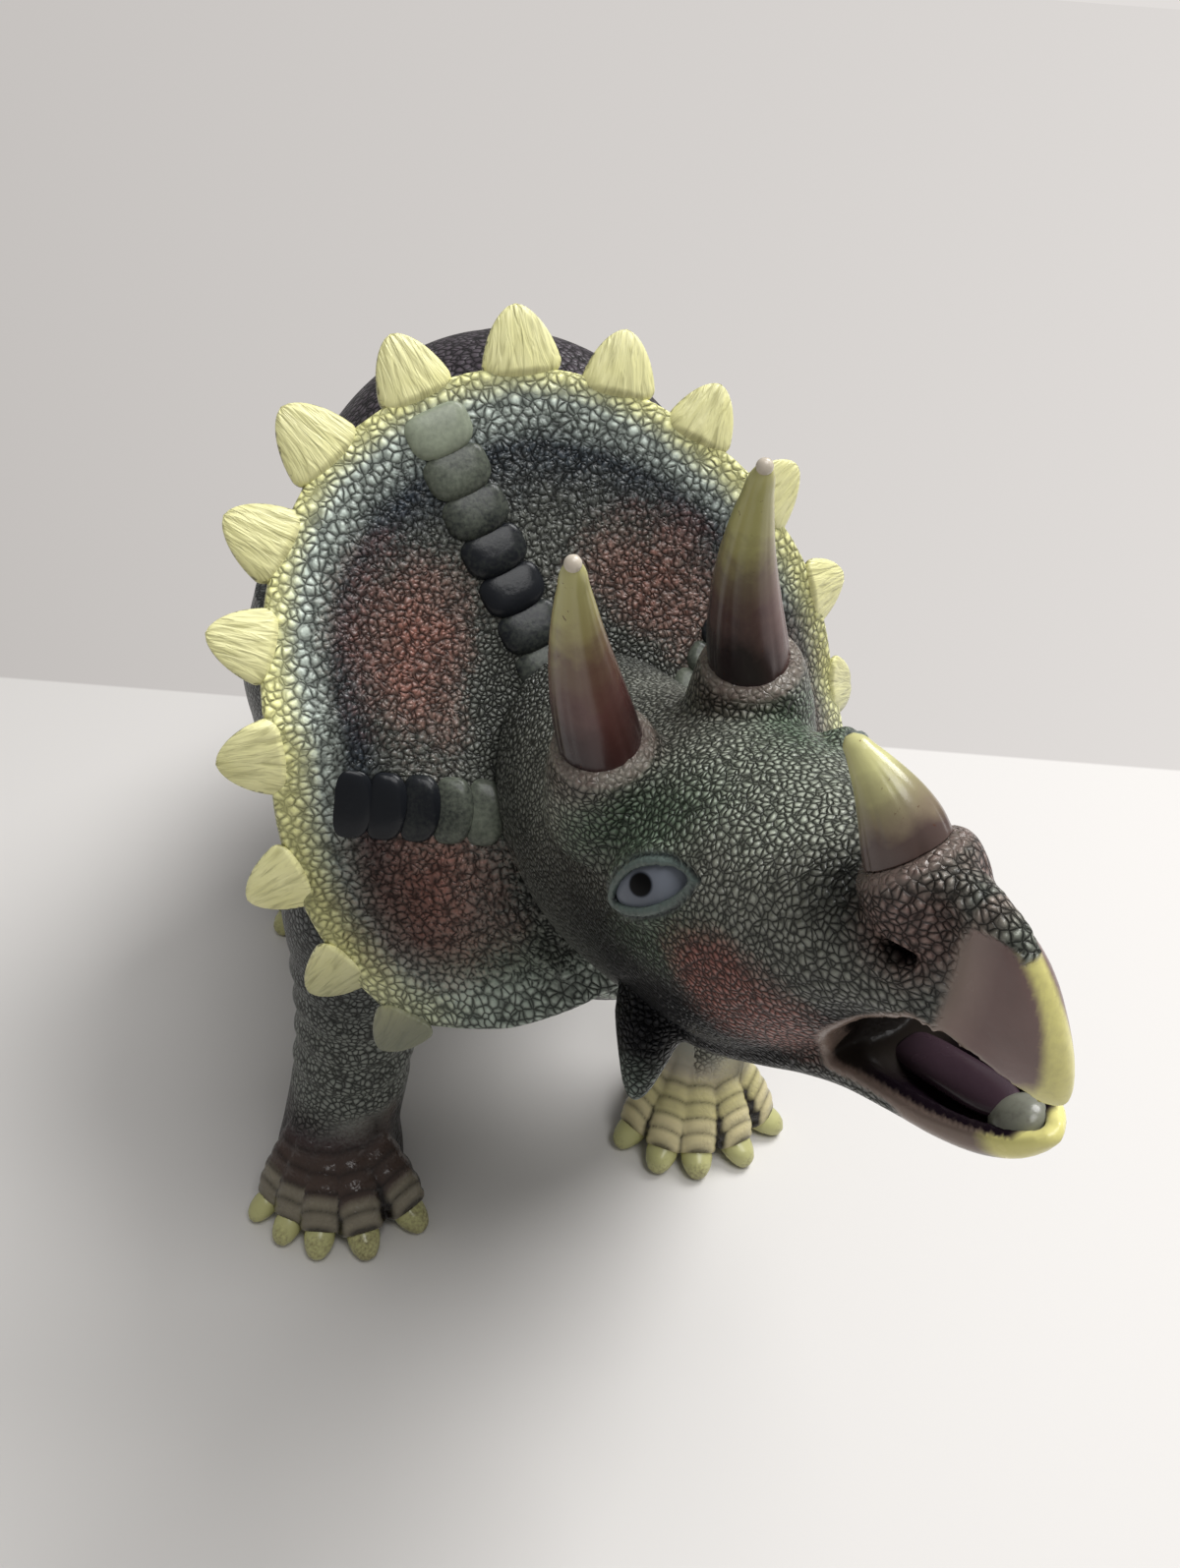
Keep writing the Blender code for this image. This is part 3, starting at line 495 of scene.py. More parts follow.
def frillFront(turn, share):
    # back of the front face: dished by one minus the share squared, lower sides swept back
    degrees, sweeps = np.array(frill["back"]).T
    outer = np.clip((share - 0.42) / 0.58, 0, None)
    sweep = frill["sweep"] * np.interp(np.abs(np.degrees(turn)), degrees, sweeps) * outer ** 1.5
    return frill["dish"] * (1 - share ** 2) + sweep


def frillSkin(around=360, rings=60):
    # polar sheet: front from the centre out, round the rim, and back in behind
    turn = np.linspace(-math.pi, math.pi, around, endpoint=False)[None, :]
    share = np.concatenate([np.linspace(0.02, 0.975, rings), 0.99 + 0.01 * np.sin(np.linspace(0, math.pi, 7)),
                            np.linspace(0.975, 0.02, rings // 2)])[:, None]
    behind = np.concatenate([np.zeros(rings), 0.5 - 0.5 * np.cos(np.linspace(0.3, math.pi - 0.3, 7)),
                             np.ones(rings // 2)])[:, None]
    radius = frillRim(turn) * share
    y = frillFront(turn, share) + frill["thick"] * behind
    return headSkin(np.stack([radius * np.sin(turn), y, radius * np.cos(turn)], -1))


def prism(outline, reach):
    # a side outline in back and up, carried across from one side to the other
    y, z = np.asarray(outline, float).T
    x = np.linspace(-reach, reach, 3)[:, None]
    return headSkin(np.stack(np.broadcast_arrays(x, y, z), -1))


def formShare(p, table):
    # how far out a point lies in the form that the table lofts: 1 is its skin, less is inside it
    _, top, low, wide, square, narrow = through(np.array(table)[:, 0], table, -p[:, 1]).T
    s = (p[:, 2] - (top + low) / 2) / ((top - low) / 2)
    c = np.abs(p[:, 0]) / (wide * (1 - narrow * np.clip(s, -1, 1)))
    return (c ** (2 / square) + np.abs(s) ** (2 / square)) ** (square / 2)


headSpots = {
    # sprayed ellipsoids: strength, centre, radii and soft edge; only red differs from side to side
    "red": [(1.0, (-25, 6, 29), (13, 24, 16), 0.95), (0.9, (27, 6, 17), (14, 24, 13), 0.95),
            (1.0, (-47, 14, -19), (13, 28, 16), 0.95), (1.0, (47, 14, -19), (13, 28, 16), 0.95)],
    "cheek": [(1.0, (20, -78, -46), (14, 12, 10), 0.6), (0.8, (17, -74, -37), (12, 8, 6), 0.7)],
    "black": [(1.1, (27, -40, -48), (17, 20, 22), 1.0), (0.8, (7, -106, -28), (9, 8, 7), 0.8),
              (0.9, (14, -96, -50), (9, 9, 5), 0.6), (0.55, (0, -36, -6), (26, 16, 16), 0.7),
              (1.1, (22, -60, -56), (17, 17, 11), 0.8), (0.9, (60, 16, -12), (14, 30, 24), 0.7)],
    "green": [(1.0, (22, -63, -33), (12, 16, 6), 0.6), (1.0, (21, -62, -15), (14, 18, 6), 0.7),
              (0.7, (50, 20, -50), (24, 26, 14), 0.7), (0.4, (0, -80, -14), (18, 20, 12), 0.7)],
    "crown": [(1.3, (6, -60, -6), (26, 42, 19), 0.7), (0.5, (6, -96, -28), (18, 26, 14), 0.7)],
    "snout": [(1.0, (6, -114, -34), (11, 8, 7), 0.6)],
    "tip": [(1.0, (34, -27.6, -67.5), (8, 8, 8), 0.7)],
    "collar": [(0.9, (14.74, -56.17, -3.32), (10.8, 10.8, 7), 0.3)],
}


def rubbedLip(m, horn):
    # the smooth, rubbed lip on top of a horn's collar: within a height and a distance from the horn's axis
    high, out = horns[horn + "Collar"], horns[horn + "Radius"]
    aim, off = unit(horns[horn + "Aim"]), m - horns[horn + "Place"]
    along = off @ aim
    beside = np.linalg.norm(off - along[:, None] * aim, axis=1)
    ends = fade(high - 2.2, high - 1.0, along) * fade(high + 2, high + 1, along)
    return ends * fade(out + 3.4, out + 2.4, beside)


def paintHead(made, calm=0.0, inside=0.0, beak=0.0, **others):
    # airbrush masks shared by the skull and the frill, so that the coats run on from one to the other
    points, normals = readPoints(made)
    p = toHead(points)
    x, y, z = p.T
    m = np.stack([np.abs(x), y, z], -1)
    facing = (normals @ headAxes)[:, 1]
    turn = np.arctan2(x, z)
    share = np.hypot(x, z) / frillRim(turn)
    onFrill = fade(-9, 2, y) * fade(0.30, 0.44, share)
    spot = {name: blobs(p if name == "red" else m, table) for name, table in headSpots.items()}
    # the frill's rings: yellow rim, mint inside it, then dark; all die away down the sides
    top = np.cos(turn)
    wide = 0.08 * fade(-0.2, 0.8, np.cos(turn - 0.5))
    outer = 0.06 * fade(0.3, 0.95, top)
    yellow = fade(0.83 + outer, 0.96 + outer * 0.5, share) * fade(-0.78, -0.25, top)
    mint = fade(0.74, 0.90, share - wide * 0.3) * (0.45 + 0.55 * fade(-0.8, 0.2, top))
    ringDark = np.exp(-((share - 0.73 - wide) / (0.07 + wide)) ** 2) * fade(-0.6, 0.1, top) * 0.85
    rubbed = [rubbedLip(m, horn) for horn in ("brow", "nose")]
    masks = {
        "dull": inside + 0.9 * spot["black"], "crown": spot["crown"] * (1 - onFrill), "tip": spot["tip"],
        "calm": calm + 0.5 * sum(rubbed), "collar": np.maximum(spot["collar"], 0.85 * np.maximum(*rubbed)),
        "yellow": yellow * onFrill, "mint": mint * onFrill, "ringDark": ringDark * onFrill,
        "red": 0.85 * spot["red"] * onFrill * fade(0.4, -0.1, facing), "cheek": spot["cheek"] * (1 - onFrill),
        "black": spot["black"] * (1 - 0.5 * onFrill), "green": spot["green"], "snout": spot["snout"] * (1 - beak),
        "rearSide": fade(0.2, 0.8, facing) * fade(-2, 4, y) * fade(0.4, 0.6, share),
        "coarse": onFrill * (0.55 + 0.45 * fade(0.75, 0.95, share)), "inside": inside, "beak": beak, **others,
    }
    for name in ("culmen", "lips", "crest", "mouthPink", "lids", "lidDark", "beakPale"):
        masks.setdefault(name, 0.0)
    mark(made, **{name: np.clip(values, 0, 1) for name, values in masks.items()})


def makeSkull():
    skins = [headTube(skull, 120, 140), headTube(jaw, 80, 110)]
    for mirror in (1.0, -1.0):
        wide, top = horns["browRadius"] + horns["collar"], horns["browCollar"]
        ring = [(-9, wide + 3.4), (0, wide + 2.2), (top - 6.0, wide + 0.8), (top - 3.0, wide + 0.1),
                (top - 0.9, wide - 0.7), (top, wide - 2.0), (top, 2)]
        for place, aim, stations in ((horns["browPlace"], horns["browAim"], ring),
                                     (cheekHorn["place"], cheekHorn["aim"], cheekHorn["stations"])):
            skins.append(headSkin(axisTube(mirrored(place, mirror), mirrored(aim, mirror), stations)))
        skins.append(eyeBall(eye["lidGrow"], mirror))
    wide, top = horns["noseRadius"] + horns["collar"], horns["noseCollar"]
    ring = [(-3, wide - 1.0), (1.5, wide + 0.2), (top - 2.6, wide + 0.3), (top - 1.0, wide - 0.2),
            (top, wide - 1.4), (top, 2)]
    skins.append(headSkin(axisTube(horns["nosePlace"], horns["noseAim"], ring)))
    forward, up, radius = lofted(beakEdge["crest"], 50).T
    skins.append(headSkin(ringGrid(np.stack([forward * 0, beakEdge["crestBack"] - forward, up], -1), (1, 0, 0),
                                   (0, 0, 1), radius, radius * 0 + beakEdge["crestWide"], 40)))
    cuts = [prism(mouth["side"], 40), headTube(mouth["inside"], 48, 60), eyeOpening(1.0), eyeOpening(-1.0)]
    made = fused("skullSkin", skins, 0.68 * mm, 4, cuts)
    points, normals = readPoints(made)
    p = toHead(points)
    x, y, z = p.T
    side = np.abs(x)
    # the mouth: skin that lies well within the uncut forms, and a lip along their cut edge
    form = np.minimum(formShare(p, skull), formShare(p, jaw))
    near = fade(-78.5, -81.0, y) * fade(-40.0, -43.0, z)
    jawFront = fade(-108.5, -110.5, y) * fade(-64, -66, z)
    inside = near * fade(0.93, 0.86, form) * fade(-119.5, -117.0, y) * (1 - jawFront)
    line = np.array(mouth["side"])
    away = np.full(len(p), 99.0)
    ends = np.concatenate([line[:mouth["upper"] - 1], line[mouth["upper"] + 2:]])
    for a, b in zip(ends, np.roll(ends, -1, axis=0)):
        if np.hypot(*(b - a)) > 12:
            continue
        s = np.clip(((p[:, 1:] - a) @ (b - a)) / ((b - a) @ (b - a)), 0, 1)
        away = np.minimum(away, np.linalg.norm(p[:, 1:] - a - s[:, None] * (b - a), axis=1))
    lips = fade(1.5, 0.9, away) * fade(0.76, 0.88, form) * near
    lower = fade(-91.5, -93.5, y) * fade(4.4, 3.6, away) * (z < 0.2604 * (y + 80) - 56) * near
    # beak: in front of a slanted line across the snout; a granular crest runs down over its top
    front = (y + 124.0) * -0.737 + (z + 34.5) * -0.676 + 0.8 * np.sin((z + 40) * 0.25)
    lip = np.interp(y, *beakEdge["lip"])
    beak = fade(-0.4, 0.4, front) * np.clip((z > lip) + fade(-118.4, -119.2, y), 0, 1)
    behindBeak = np.exp(-(front / 0.9) ** 2) * fade(2.5, 4.0, side) * (z > lip) * (z > -50)
    lips = np.maximum(lips, 0.9 * behindBeak)
    # paler beak: a painted highlight within a few mm of its rear edge, and pale lip paint just above the lip at its
    # rear
    beakPale = beak * fade(5.5, 0.5, front) * 0.7 + beak * fade(4.0, 1.0, z - lip) * fade(-119, -116, y) * 0.6
    crest = beak * fade(3.6, 3.0, side + 1.8 * fade(-33, -39, z)) * fade(-40.4, -39.4, z)
    beak = np.clip(beak - crest, 0, 1) * (1 - fade(-63.6, -64.4, z))
    jawTip = 1.2 * fade(-104, -108.5, y) * fade(-62.5, -64.5, z) * (1 - inside)
    culmen = beak * fade(2.2, 0.8, side - 1.5 * fade(-44, -58, z)) + beak * fade(-56, -60.5, z) + jawTip
    # nostril: a slanting oval hole with a raised rim
    slit = np.stack([(y + 111.0) * 0.80 + (z + 37.4) * 0.60, (y + 111.0) * -0.60 + (z + 37.4) * 0.80], -1)
    reach = np.sqrt((slit[:, 0] / 2.9) ** 2 + (slit[:, 1] / 1.7) ** 2)
    hole = fade(1.15, 0.5, reach) * fade(-100, -104, y)
    rim = np.exp(-((reach - 1.8) / 0.5) ** 2) * fade(-100, -104, y)
    # lids: a rolled edge, a crease and a fold round the almond opening
    local = toEye(p)
    m = almondReach(local)
    nearEye = fade(7.0, 5.0, np.abs(local[:, 2] + 1.5)) * fade(3.0, 2.6, m)
    roll, crease, fold = (np.exp(-((m - at) / half) ** 2) for at, half in ((1.26, 0.16), (1.62, 0.10), (1.94, 0.18)))
    lidForm = (0.4 * roll - 0.5 * crease + 0.35 * fold) * nearEye * fade(0.98, 1.06, m)
    out = -2.3 * hole + 0.55 * rim - 0.5 * beak * (1 - inside) + lidForm
    writePoints(made, points + normals * (out * mm)[:, None])
    # near-black painted shade in the lid's crease and just inside the opening's edge
    lids = fade(1.80, 1.66, m) * nearEye
    paintHead(made, beak + lips + lower + inside + lids * 0.9 + jawTip, inside + hole, beak, culmen=culmen,
              lips=np.clip(lips + lower, 0, 1), crest=crest, mouthPink=inside * fade(-90, -82, y) * 0.8, lids=lids,
              lidDark=np.clip(crease + fade(1.03, 0.97, m), 0, 1) * nearEye, beakPale=beakPale)
    return made


def makeFrill():
    # the frill's sheet, the neck's stub behind it and a fillet up to the skull, which covers its middle
    root = headTube([(f, top + grow, low - 0.6 * grow, wide + 0.6 * grow, a, b)
                     for (f, top, low, wide, a, b), grow in zip(skull, frill["rootGrow"])], 120, 40)
    stub = headSkin(axisTube((0, 19.7, -30), (0, -1, 0), frill["stub"]))
    made = fused("frillSkin", [frillSkin(), stub, root], 0.84 * mm, 8)
    paintHead(made)
    return made


headVinyl = paintedVinyl("headVinylPaint", "#5c5e58", [
    # mask, colour, how much noise breaks it up
    ("crown", "#a2a498", 0.4), ("green", "#667663", 0.5), ("ringDark", "#28313b", 0.8), ("mint", "#bfcac0", 0.6),
    ("yellow", "#eae8a4", 0.4), ("red", "#7d5449", 0.9), ("black", "#0d0e13", 0.5), ("tip", "#77837a", 0.5),
    ("cheek", "#8a584f", 0.8), ("collar", "#675b54", 0.6), ("snout", "#75605a", 0.7), ("crest", "#7c8076", 0.4),
    # the lid crease coat below is painted shade
    # the pale beak coat below is partly a painted highlight
    ("lids", "#4e5955", 0.4), ("lidDark", "#14181a", 0.1), ("beak", "#6b5653", 0.2), ("beakPale", "#85736b", 0.1),
    ("lips", "#74645b", 0.2), ("culmen", "#c9c27c", 0.3), ("inside", "#150e14", 0.1), ("mouthPink", "#2c2722", 0.3),
    ("rearSide", "#2f2f35", 0.5),
], vinyl["pebble"], vinyl["pebbleHeight"], onHead=True)
for made in (makeSkull(), makeFrill()):
    finishPiece(made, "head", headVinyl, "head_vinyl", "head_shell")
print("head skin done")


# frill spikes and scutes
spikes = {
    "degrees": [0.0, 18.0, 34.5, 51.0, 70.0, 91.5, 110.5, 125.0],
    "sizes": [1.00, 1.05, 1.00, 0.95, 0.95, 0.95, 0.92, 0.82],
    "width": 17.6, "length": 11.2, "inset": 4.0, "thick": 3.4, "back": 1.9, "apart": 7,
    "wrinkle": 1.5,          # mm between the fine folds that fan out to the tip
}


def spikeSkin(degrees, size):
    # leaf on the rim: a round foot, then width falls as a root of the distance to the tip; its section is a lens
    turn = math.radians(degrees)
    rim = float(frillRim(np.array(turn)))
    v, phi = np.linspace(0, 1, 40)[:, None] ** 1.2, fullTurn(64)[None, :]
    foot = np.sqrt(np.clip(1 - (1 - np.clip(v / 0.30, 0, 1)) ** 2, 0.0005, 1))
    half = 0.5 * spikes["width"] * size * foot * np.clip(1 - v ** 1.8, 0.0006, 1) ** 0.6
    thick = spikes["thick"] * (1 - 0.42 * v) * np.sqrt(np.clip(1 - v ** 4, 0.001, 1))
    thick = thick * (0.25 + 0.75 * fade(0, 0.16, v))
    u = np.cos(phi) * half
    fold = 0.10 * np.sin(13.0 * np.cos(phi) + 3.0 * v + degrees) * fade(0.05, 0.3, v)
    deep = squared(np.sin(phi), 0.75) * thick + fold * np.sin(phi)
    out = rim - spikes["inset"] + v * (spikes["inset"] + spikes["length"] * size)
    x = out * math.sin(turn) + u * math.cos(turn)
    z = out * math.cos(turn) - u * math.sin(turn)
    y = frillFront(np.arctan2(x, z), np.hypot(x, z) / rim) + spikes["back"] + deep
    apart = spikes["apart"] * degrees
    rows = {"along": (v + 0 * phi, 0.0, 1.0), "across": (u * (1 + 0.9 * v) + apart, apart, apart),
            "edge": (np.abs(np.cos(phi)) ** 6 + 0 * v, 0.0, 1.0)}
    return headSkin(np.stack([x, y, z], -1)), {name: np.append(grid, poles) for name, (grid, *poles) in rows.items()}


def spikePaint():
    # soft PVC sprayed pale yellow: fine folds fan out to the tip, painted browner in their valleys as shade, and the
    # edge is worn dark
    made, tree, shader = newMaterial("spikeVinylPaint")
    place = objectPlace(tree)
    turn = calc(tree, "MULTIPLY", mask(tree, "across"), 1 / spikes["wrinkle"])
    run = calc(tree, "MULTIPLY", mask(tree, "along"), 2.2)
    spot = add(tree, "ShaderNodeCombineXYZ", {"X": turn, "Y": run})
    fold = noise(tree, spot.outputs[0], 1.0, 2.0, Distortion=0.6)
    rub = calc(tree, "MULTIPLY", noise(tree, place, 1.1 * mm, 4.0), mask(tree, "edge"))
    colour = linear("#e4e09b")
    for share, code in ((noise(tree, place, 7.0 * mm, 2.0), "#f8f4bd"),
                        # painted shade: browner where the folds sink
                        (remap(tree, fold, 0.50, 0.30, 0.0, 0.5), "#8f8a52"),
                        (remap(tree, rub, 0.42, 0.56, 0.0, 0.75), "#4a4636"),
                        (mask(tree, "lowSpikes"), "#62665a"), (mask(tree, "behind"), "#30332f")):
        colour = coat(tree, share, colour, code)
    fill(tree, shader, {"Base Color": colour, "Roughness": 0.42, "Normal": bumped(tree, fold, 0.55, 1.0)})
    return made


spikeSkins, spikeRows = zip(*(spikeSkin(degrees * mirror, size)
                              for degrees, size in zip(spikes["degrees"], spikes["sizes"])
                              for mirror in ((1.0, -1.0) if degrees else (1.0,))))
made = addMesh("frillSpikes", spikeSkins)
points, normals = readPoints(made)
mark(made, lowSpikes=fade(-14, -50, toHead(points)[:, 2]) * 0.9, behind=fade(-0.1, 0.5, (normals @ headAxes)[:, 1]),
     **{name: np.concatenate([rows[name] for rows in spikeRows]) for name in ("along", "across", "edge")})
finishPiece(made, "head", spikePaint(), "head_vinyl")

scutes = {
    "pitch": 8.9, "sidePitch": 7.0, "wide": 14.6, "long": 10.4, "tall": 3.0, "lean": 58.0,
    "top": (0.6, 66.0), "sideTop": (51.5, 5.8),                # where the middle row and the side rows start
    "short": 0.84, "low": 0.65,                                # side scutes' length, the first ones' height
    "pale": (0.75, 0.2, 0.1, 0.04, 0.0, 0.06, 0.1),
    "sidePale": (0.0, 0.0, 0.03, 0.16, 0.24, 0.12, 0.1),
}


def scuteSkin(x, z, lean, tall, squeeze=1.0):
    # shingle: outline an ellipse squared off by powers under one, crown a flat dome that rises to the inner edge
    wide, long = scutes["wide"] / 2, scutes["long"] / 2 * squeeze
    v, phi = np.linspace(-1, 1, 25)[:, None], fullTurn(36)[None, :]
    size = np.clip(np.clip(1 - np.abs(v) ** 3.2, 0, 1) ** 0.42, 0.02, 1)
    across = wide * squared(np.cos(phi), 0.75) * size
    out = tall * squared(np.sin(phi), 0.85) * (0.62 + 0.38 * fade(1.0, -0.7, v)) * size
    along = long * v + 0.10 * wide * (across / wide) ** 2
    a = math.radians(lean)
    px = x + across * math.cos(a) + along * math.sin(a)
    pz = z - across * math.sin(a) + along * math.cos(a)
    turn = np.arctan2(px, pz)
    y = frillFront(turn, np.hypot(px, pz) / frillRim(turn)) + 0.5 - out
    return headSkin(np.stack([px, y, pz], -1))


scuteSkins, pale = [], []
slope = math.radians(scutes["lean"])
for i, shares in enumerate(zip(scutes["pale"], scutes["sidePale"], scutes["sidePale"])):
    (x, z), (sideX, sideZ) = scutes["top"], scutes["sideTop"]
    tall, down = scutes["tall"] * (1 if i else scutes["low"]), i * scutes["sidePitch"]
    scuteSkins.append(scuteSkin(x - 0.1 * i, z - i * scutes["pitch"], 0.0, scutes["tall"]))
    scuteSkins += [scuteSkin(mirror * (sideX - down * math.sin(slope)), sideZ - down * math.cos(slope),
                             mirror * scutes["lean"], tall, scutes["short"]) for mirror in (1.0, -1.0)]
    pale += shares
made = addMesh("frillScutes", scuteSkins)
mark(made, pale=np.repeat(pale, [len(skin[0]) for skin in scuteSkins]), calm=1.0)
scuteVinyl = paintedVinyl("scuteVinylPaint", "#1b1d21", [("pale", "#a3ab96", 0.4)], 3.0, 0.06, light=0.0, shine=0.2)
finishPiece(made, "head", scuteVinyl, "head_vinyl")
print("spikes and scutes done")


# horns
def hornSkin(place, aim, length, radius, bend, grooves, bead):
    # grooved cone on a bowed axis: radius falls by a smooth taper, grooves fade towards the tip
    v, phi = np.linspace(0, 1, 90)[:, None], fullTurn(96)[None, :]
    taper = through([0, 0.18, 0.40, 0.64, 0.86, 0.97, 1.0], [1.0, 0.93, 0.77, 0.55, 0.33, 0.20, 0.10], v)
    wave = np.cos(grooves * phi + 1.3 * np.sin(2 * phi))
    cut = -0.022 * np.clip(wave, 0, 1) ** 4 * (1 - v) ** 0.7 * (1 + 0.6 * np.sin(3 * phi + 9 * v))
    aim = unit(aim)
    side = unit(np.cross(aim, (0.0, 1.0, 0.0)))
    run = horns["seat"] + v * (length - horns["seat"])
    centres = np.asarray(place) + run * aim + np.sin(math.pi * v) * np.asarray(bend)
    round_ = np.cos(phi)[..., None] * side + np.sin(phi)[..., None] * np.cross(side, aim)
    skins = [headSkin(centres[:, None] + (radius * taper * (1 + cut))[..., None] * round_)]
    along = [(v + 0 * phi).ravel(), [0.0, 1.0]]
    if bead:
        ball = [(-bead * math.cos(a), bead * math.sin(a) + 0.02) for a in np.linspace(0, math.pi, 17)]
        skins.append(headSkin(axisTube(centres[-1] - 0.4 * aim, aim, ball, 24)))
        along.append(np.full(len(skins[1][0]), 1.2))
    return skins, np.concatenate(along)


def hornPaint(name, base, middle, top, start, end, streak, blush):
    # sprayed vinyl: dark maroon root into mauve, then yellow-green towards a rubbed tip
    made, tree, shader = newMaterial(name)
    place, along = objectPlace(tree), mask(tree, "along")
    shift = calc(tree, "MULTIPLY_ADD", noise(tree, place, 5.0 * mm, 4.0), 0.34, along)
    colour = ramp(tree, calc(tree, "ADD", shift, -0.17), [
        (0.0, base), (start * 0.55, base), (start, middle), ((start + end) / 2, streak), (end, top), (1.0, top)])
    fleck = noise(tree, place, 1.6 * mm, 5.0, Roughness=0.7)
    for share, code in ((mask(tree, "blush"), blush), (remap(tree, fleck, 0.66, 0.72), "#5a3a2a"),
                        (remap(tree, along, 1.05, 1.15), "#cfc4b4")):
        colour = coat(tree, share, colour, code)
    fill(tree, shader, {"Base Color": colour, "Roughness": 0.25, "Normal": bumped(tree, fleck, 0.05, 0.7)})
    return made


browPaint = hornPaint("browHornPaint", "#2a1f21", "#5c4744", "#bbb779", 0.38, 0.74, "#7a6d58", "#6b3b35")
nosePaint = hornPaint("noseHornPaint", "#5a4944", "#827460", "#cbc88d", 0.30, 0.70, "#98906c", "#6b5a4a")
for name, mirror in mirrors.items():
    skins, along = hornSkin(mirrored(horns["browPlace"], mirror), mirrored(horns["browAim"], mirror),
                            horns["browLength"], horns["browRadius"], (0, 1.9, 2.3), 11, 1.25)
    made = addMesh("browHorn" + name.title(), skins)
    middle = blob(toHead(readPoints(made)[0]), (-14.5 if mirror < 0 else 19.5, -66, 8), (5, 30, 14), 0.8)
    mark(made, along=along, blush=np.clip(middle * 0.55, 0, 1))
    finishPiece(made, "head", browPaint, "horn_vinyl", "brow_horn_" + name)
skins, along = hornSkin(horns["nosePlace"], horns["noseAim"], horns["noseLength"], horns["noseRadius"],
                        (0, -1.9, 0), 9, 0)
made = addMesh("noseHorn", skins)
mark(made, along=along, blush=0.0)
finishPiece(made, "head", nosePaint, "horn_vinyl", "nose_horn")


# eyes and tongue
def eyePaint():
    # satin enamel over the vinyl ball: pale blue-grey, a crisp black pupil with a thin darker ring, and painted shade
    # that darkens the ball towards its corners under the lids
    made, tree, shader = newMaterial("eyeEnamel")
    start = eye["pupilRadius"] / 10
    stops = [(start, "#040405"), (start + 0.015, "#33373f"), (start + 0.05, "#70757f"), (0.55, "#7d838e"),
             (1.0, "#5a5e68")]
    colour = ramp(tree, mask(tree, "gaze"), stops)
    level = remap(tree, noise(tree, objectPlace(tree), 2.5 * mm, 3.0), 0.0, 1.0, 0.9, 1.1)
    fill(tree, shader, {"Base Color": vector(tree, "SCALE", colour, level), "Roughness": 0.3,
                        "Specular IOR Level": 0.1})
    return made


enamel = eyePaint()
for name, mirror in mirrors.items():
    made = addMesh("eyeBall" + name.title(), [eyeBall(0.0, mirror)])
    along, up, out = toEye(toHead(readPoints(made)[0])).T
    away = np.hypot((along - eye["pupil"][0]) / eye["pupilWide"], up - eye["pupil"][1]) + 9 * (out < -eye["half"][2])
    mark(made, gaze=away / 10)
    finishPiece(made, "head", enamel, "eye_enamel", "eye_" + name)

tongueVinyl = paintedVinyl("tongueVinylPaint", "#3d2e36", [("front", "#77786c", 0.9)], 2.5, 0.05, light=0.0)
f = np.linspace(82, 106, 48)
size = np.sqrt(np.clip(1 - ((f - 92) / 14.2) ** 4, 0.002, 1))
tongue = headSkin(ringGrid(np.stack([f * 0, -f, -62.6 - 0.18 * (f - 82)], -1), (1, 0, 0), (0, 0, 1), 3.7 * size,
                           1.7 * size, 48, 0.9))
a = np.linspace(-math.pi / 2 + 0.05, math.pi / 2 - 0.05, 21)
lump = headSkin(axisTube((0, -105.6, -68.2), (0, 0, 1), np.stack([2.9 * np.sin(a), 4.2 * np.cos(a) + 0.01], -1), 40))
made = addMesh("tongue", [tongue, lump])
onLump = np.repeat([0, 1], [len(tongue[0]), len(lump[0])])
mark(made, calm=1.0, front=fade(-100.8, -101.6, toHead(readPoints(made)[0])[:, 1]) * onLump)
finishPiece(made, "head", tongueVinyl, "head_vinyl")
print("horns, eyes and tongue done")


# trunk and tail
trunk = {
    "length": 212.0, "back": 231.0, "wide": 62.0, "high": 76.0, "neckRadius": 38.0, "tailRadius": 33.0,
    "tailDrop": 20.0, "seats": {"shoulder": 35.0, "hip": 43.0},
    "shares": [
        # along, height, half width, half height, lean
        (0.09, 0.625, 0.64, 0.60, 0.86), (0.20, 0.608, 0.80, 0.76, 0.43), (0.33, 0.622, 0.93, 0.86, 0.14),
        (0.47, 0.662, 1.06, 0.935, 0.00), (0.61, 0.680, 1.08, 0.97, 0.00), (0.75, 0.672, 0.98, 0.93, -0.06),
        (0.87, 0.652, 0.74, 0.80, -0.20),
    ],
    "paint": [("back", "#433c42", 0.7), ("flank", "#3a3338", 0.8), ("belly", "#8a8a78", 0.6)],
}
tailForm = {
    # along, radius share, lift share, side share
    "rows": [(0.3, 1.00, 0.00, 0.00), (20.0, 0.88, 0.00, 0.02), (41.5, 0.66, 0.02, 0.12), (63.0, 0.45, 0.05, 0.35),
             (82.6, 0.26, 0.09, 0.72), (98.3, 0.09, 0.12, 1.00)],
    "droop": 98.0, "curl": 34.0, "bands": 16, "bandDepth": 0.012, "belowAxis": 0.34,
}
tailPivot, tailOut = (np.array(joints["tail_swivel"][key]) for key in ("pos_m", "axis"))
trunkFloor = neckPivot * (1, 1, 0)
neckRise, tailDrop = math.radians(neck["rise"]), math.radians(trunk["tailDrop"])
seats = [(np.array(joints[name + "_swivel_" + side]["pos_m"]), mirror, radius)
         for name, radius in trunk["seats"].items() for side, mirror in mirrors.items()]


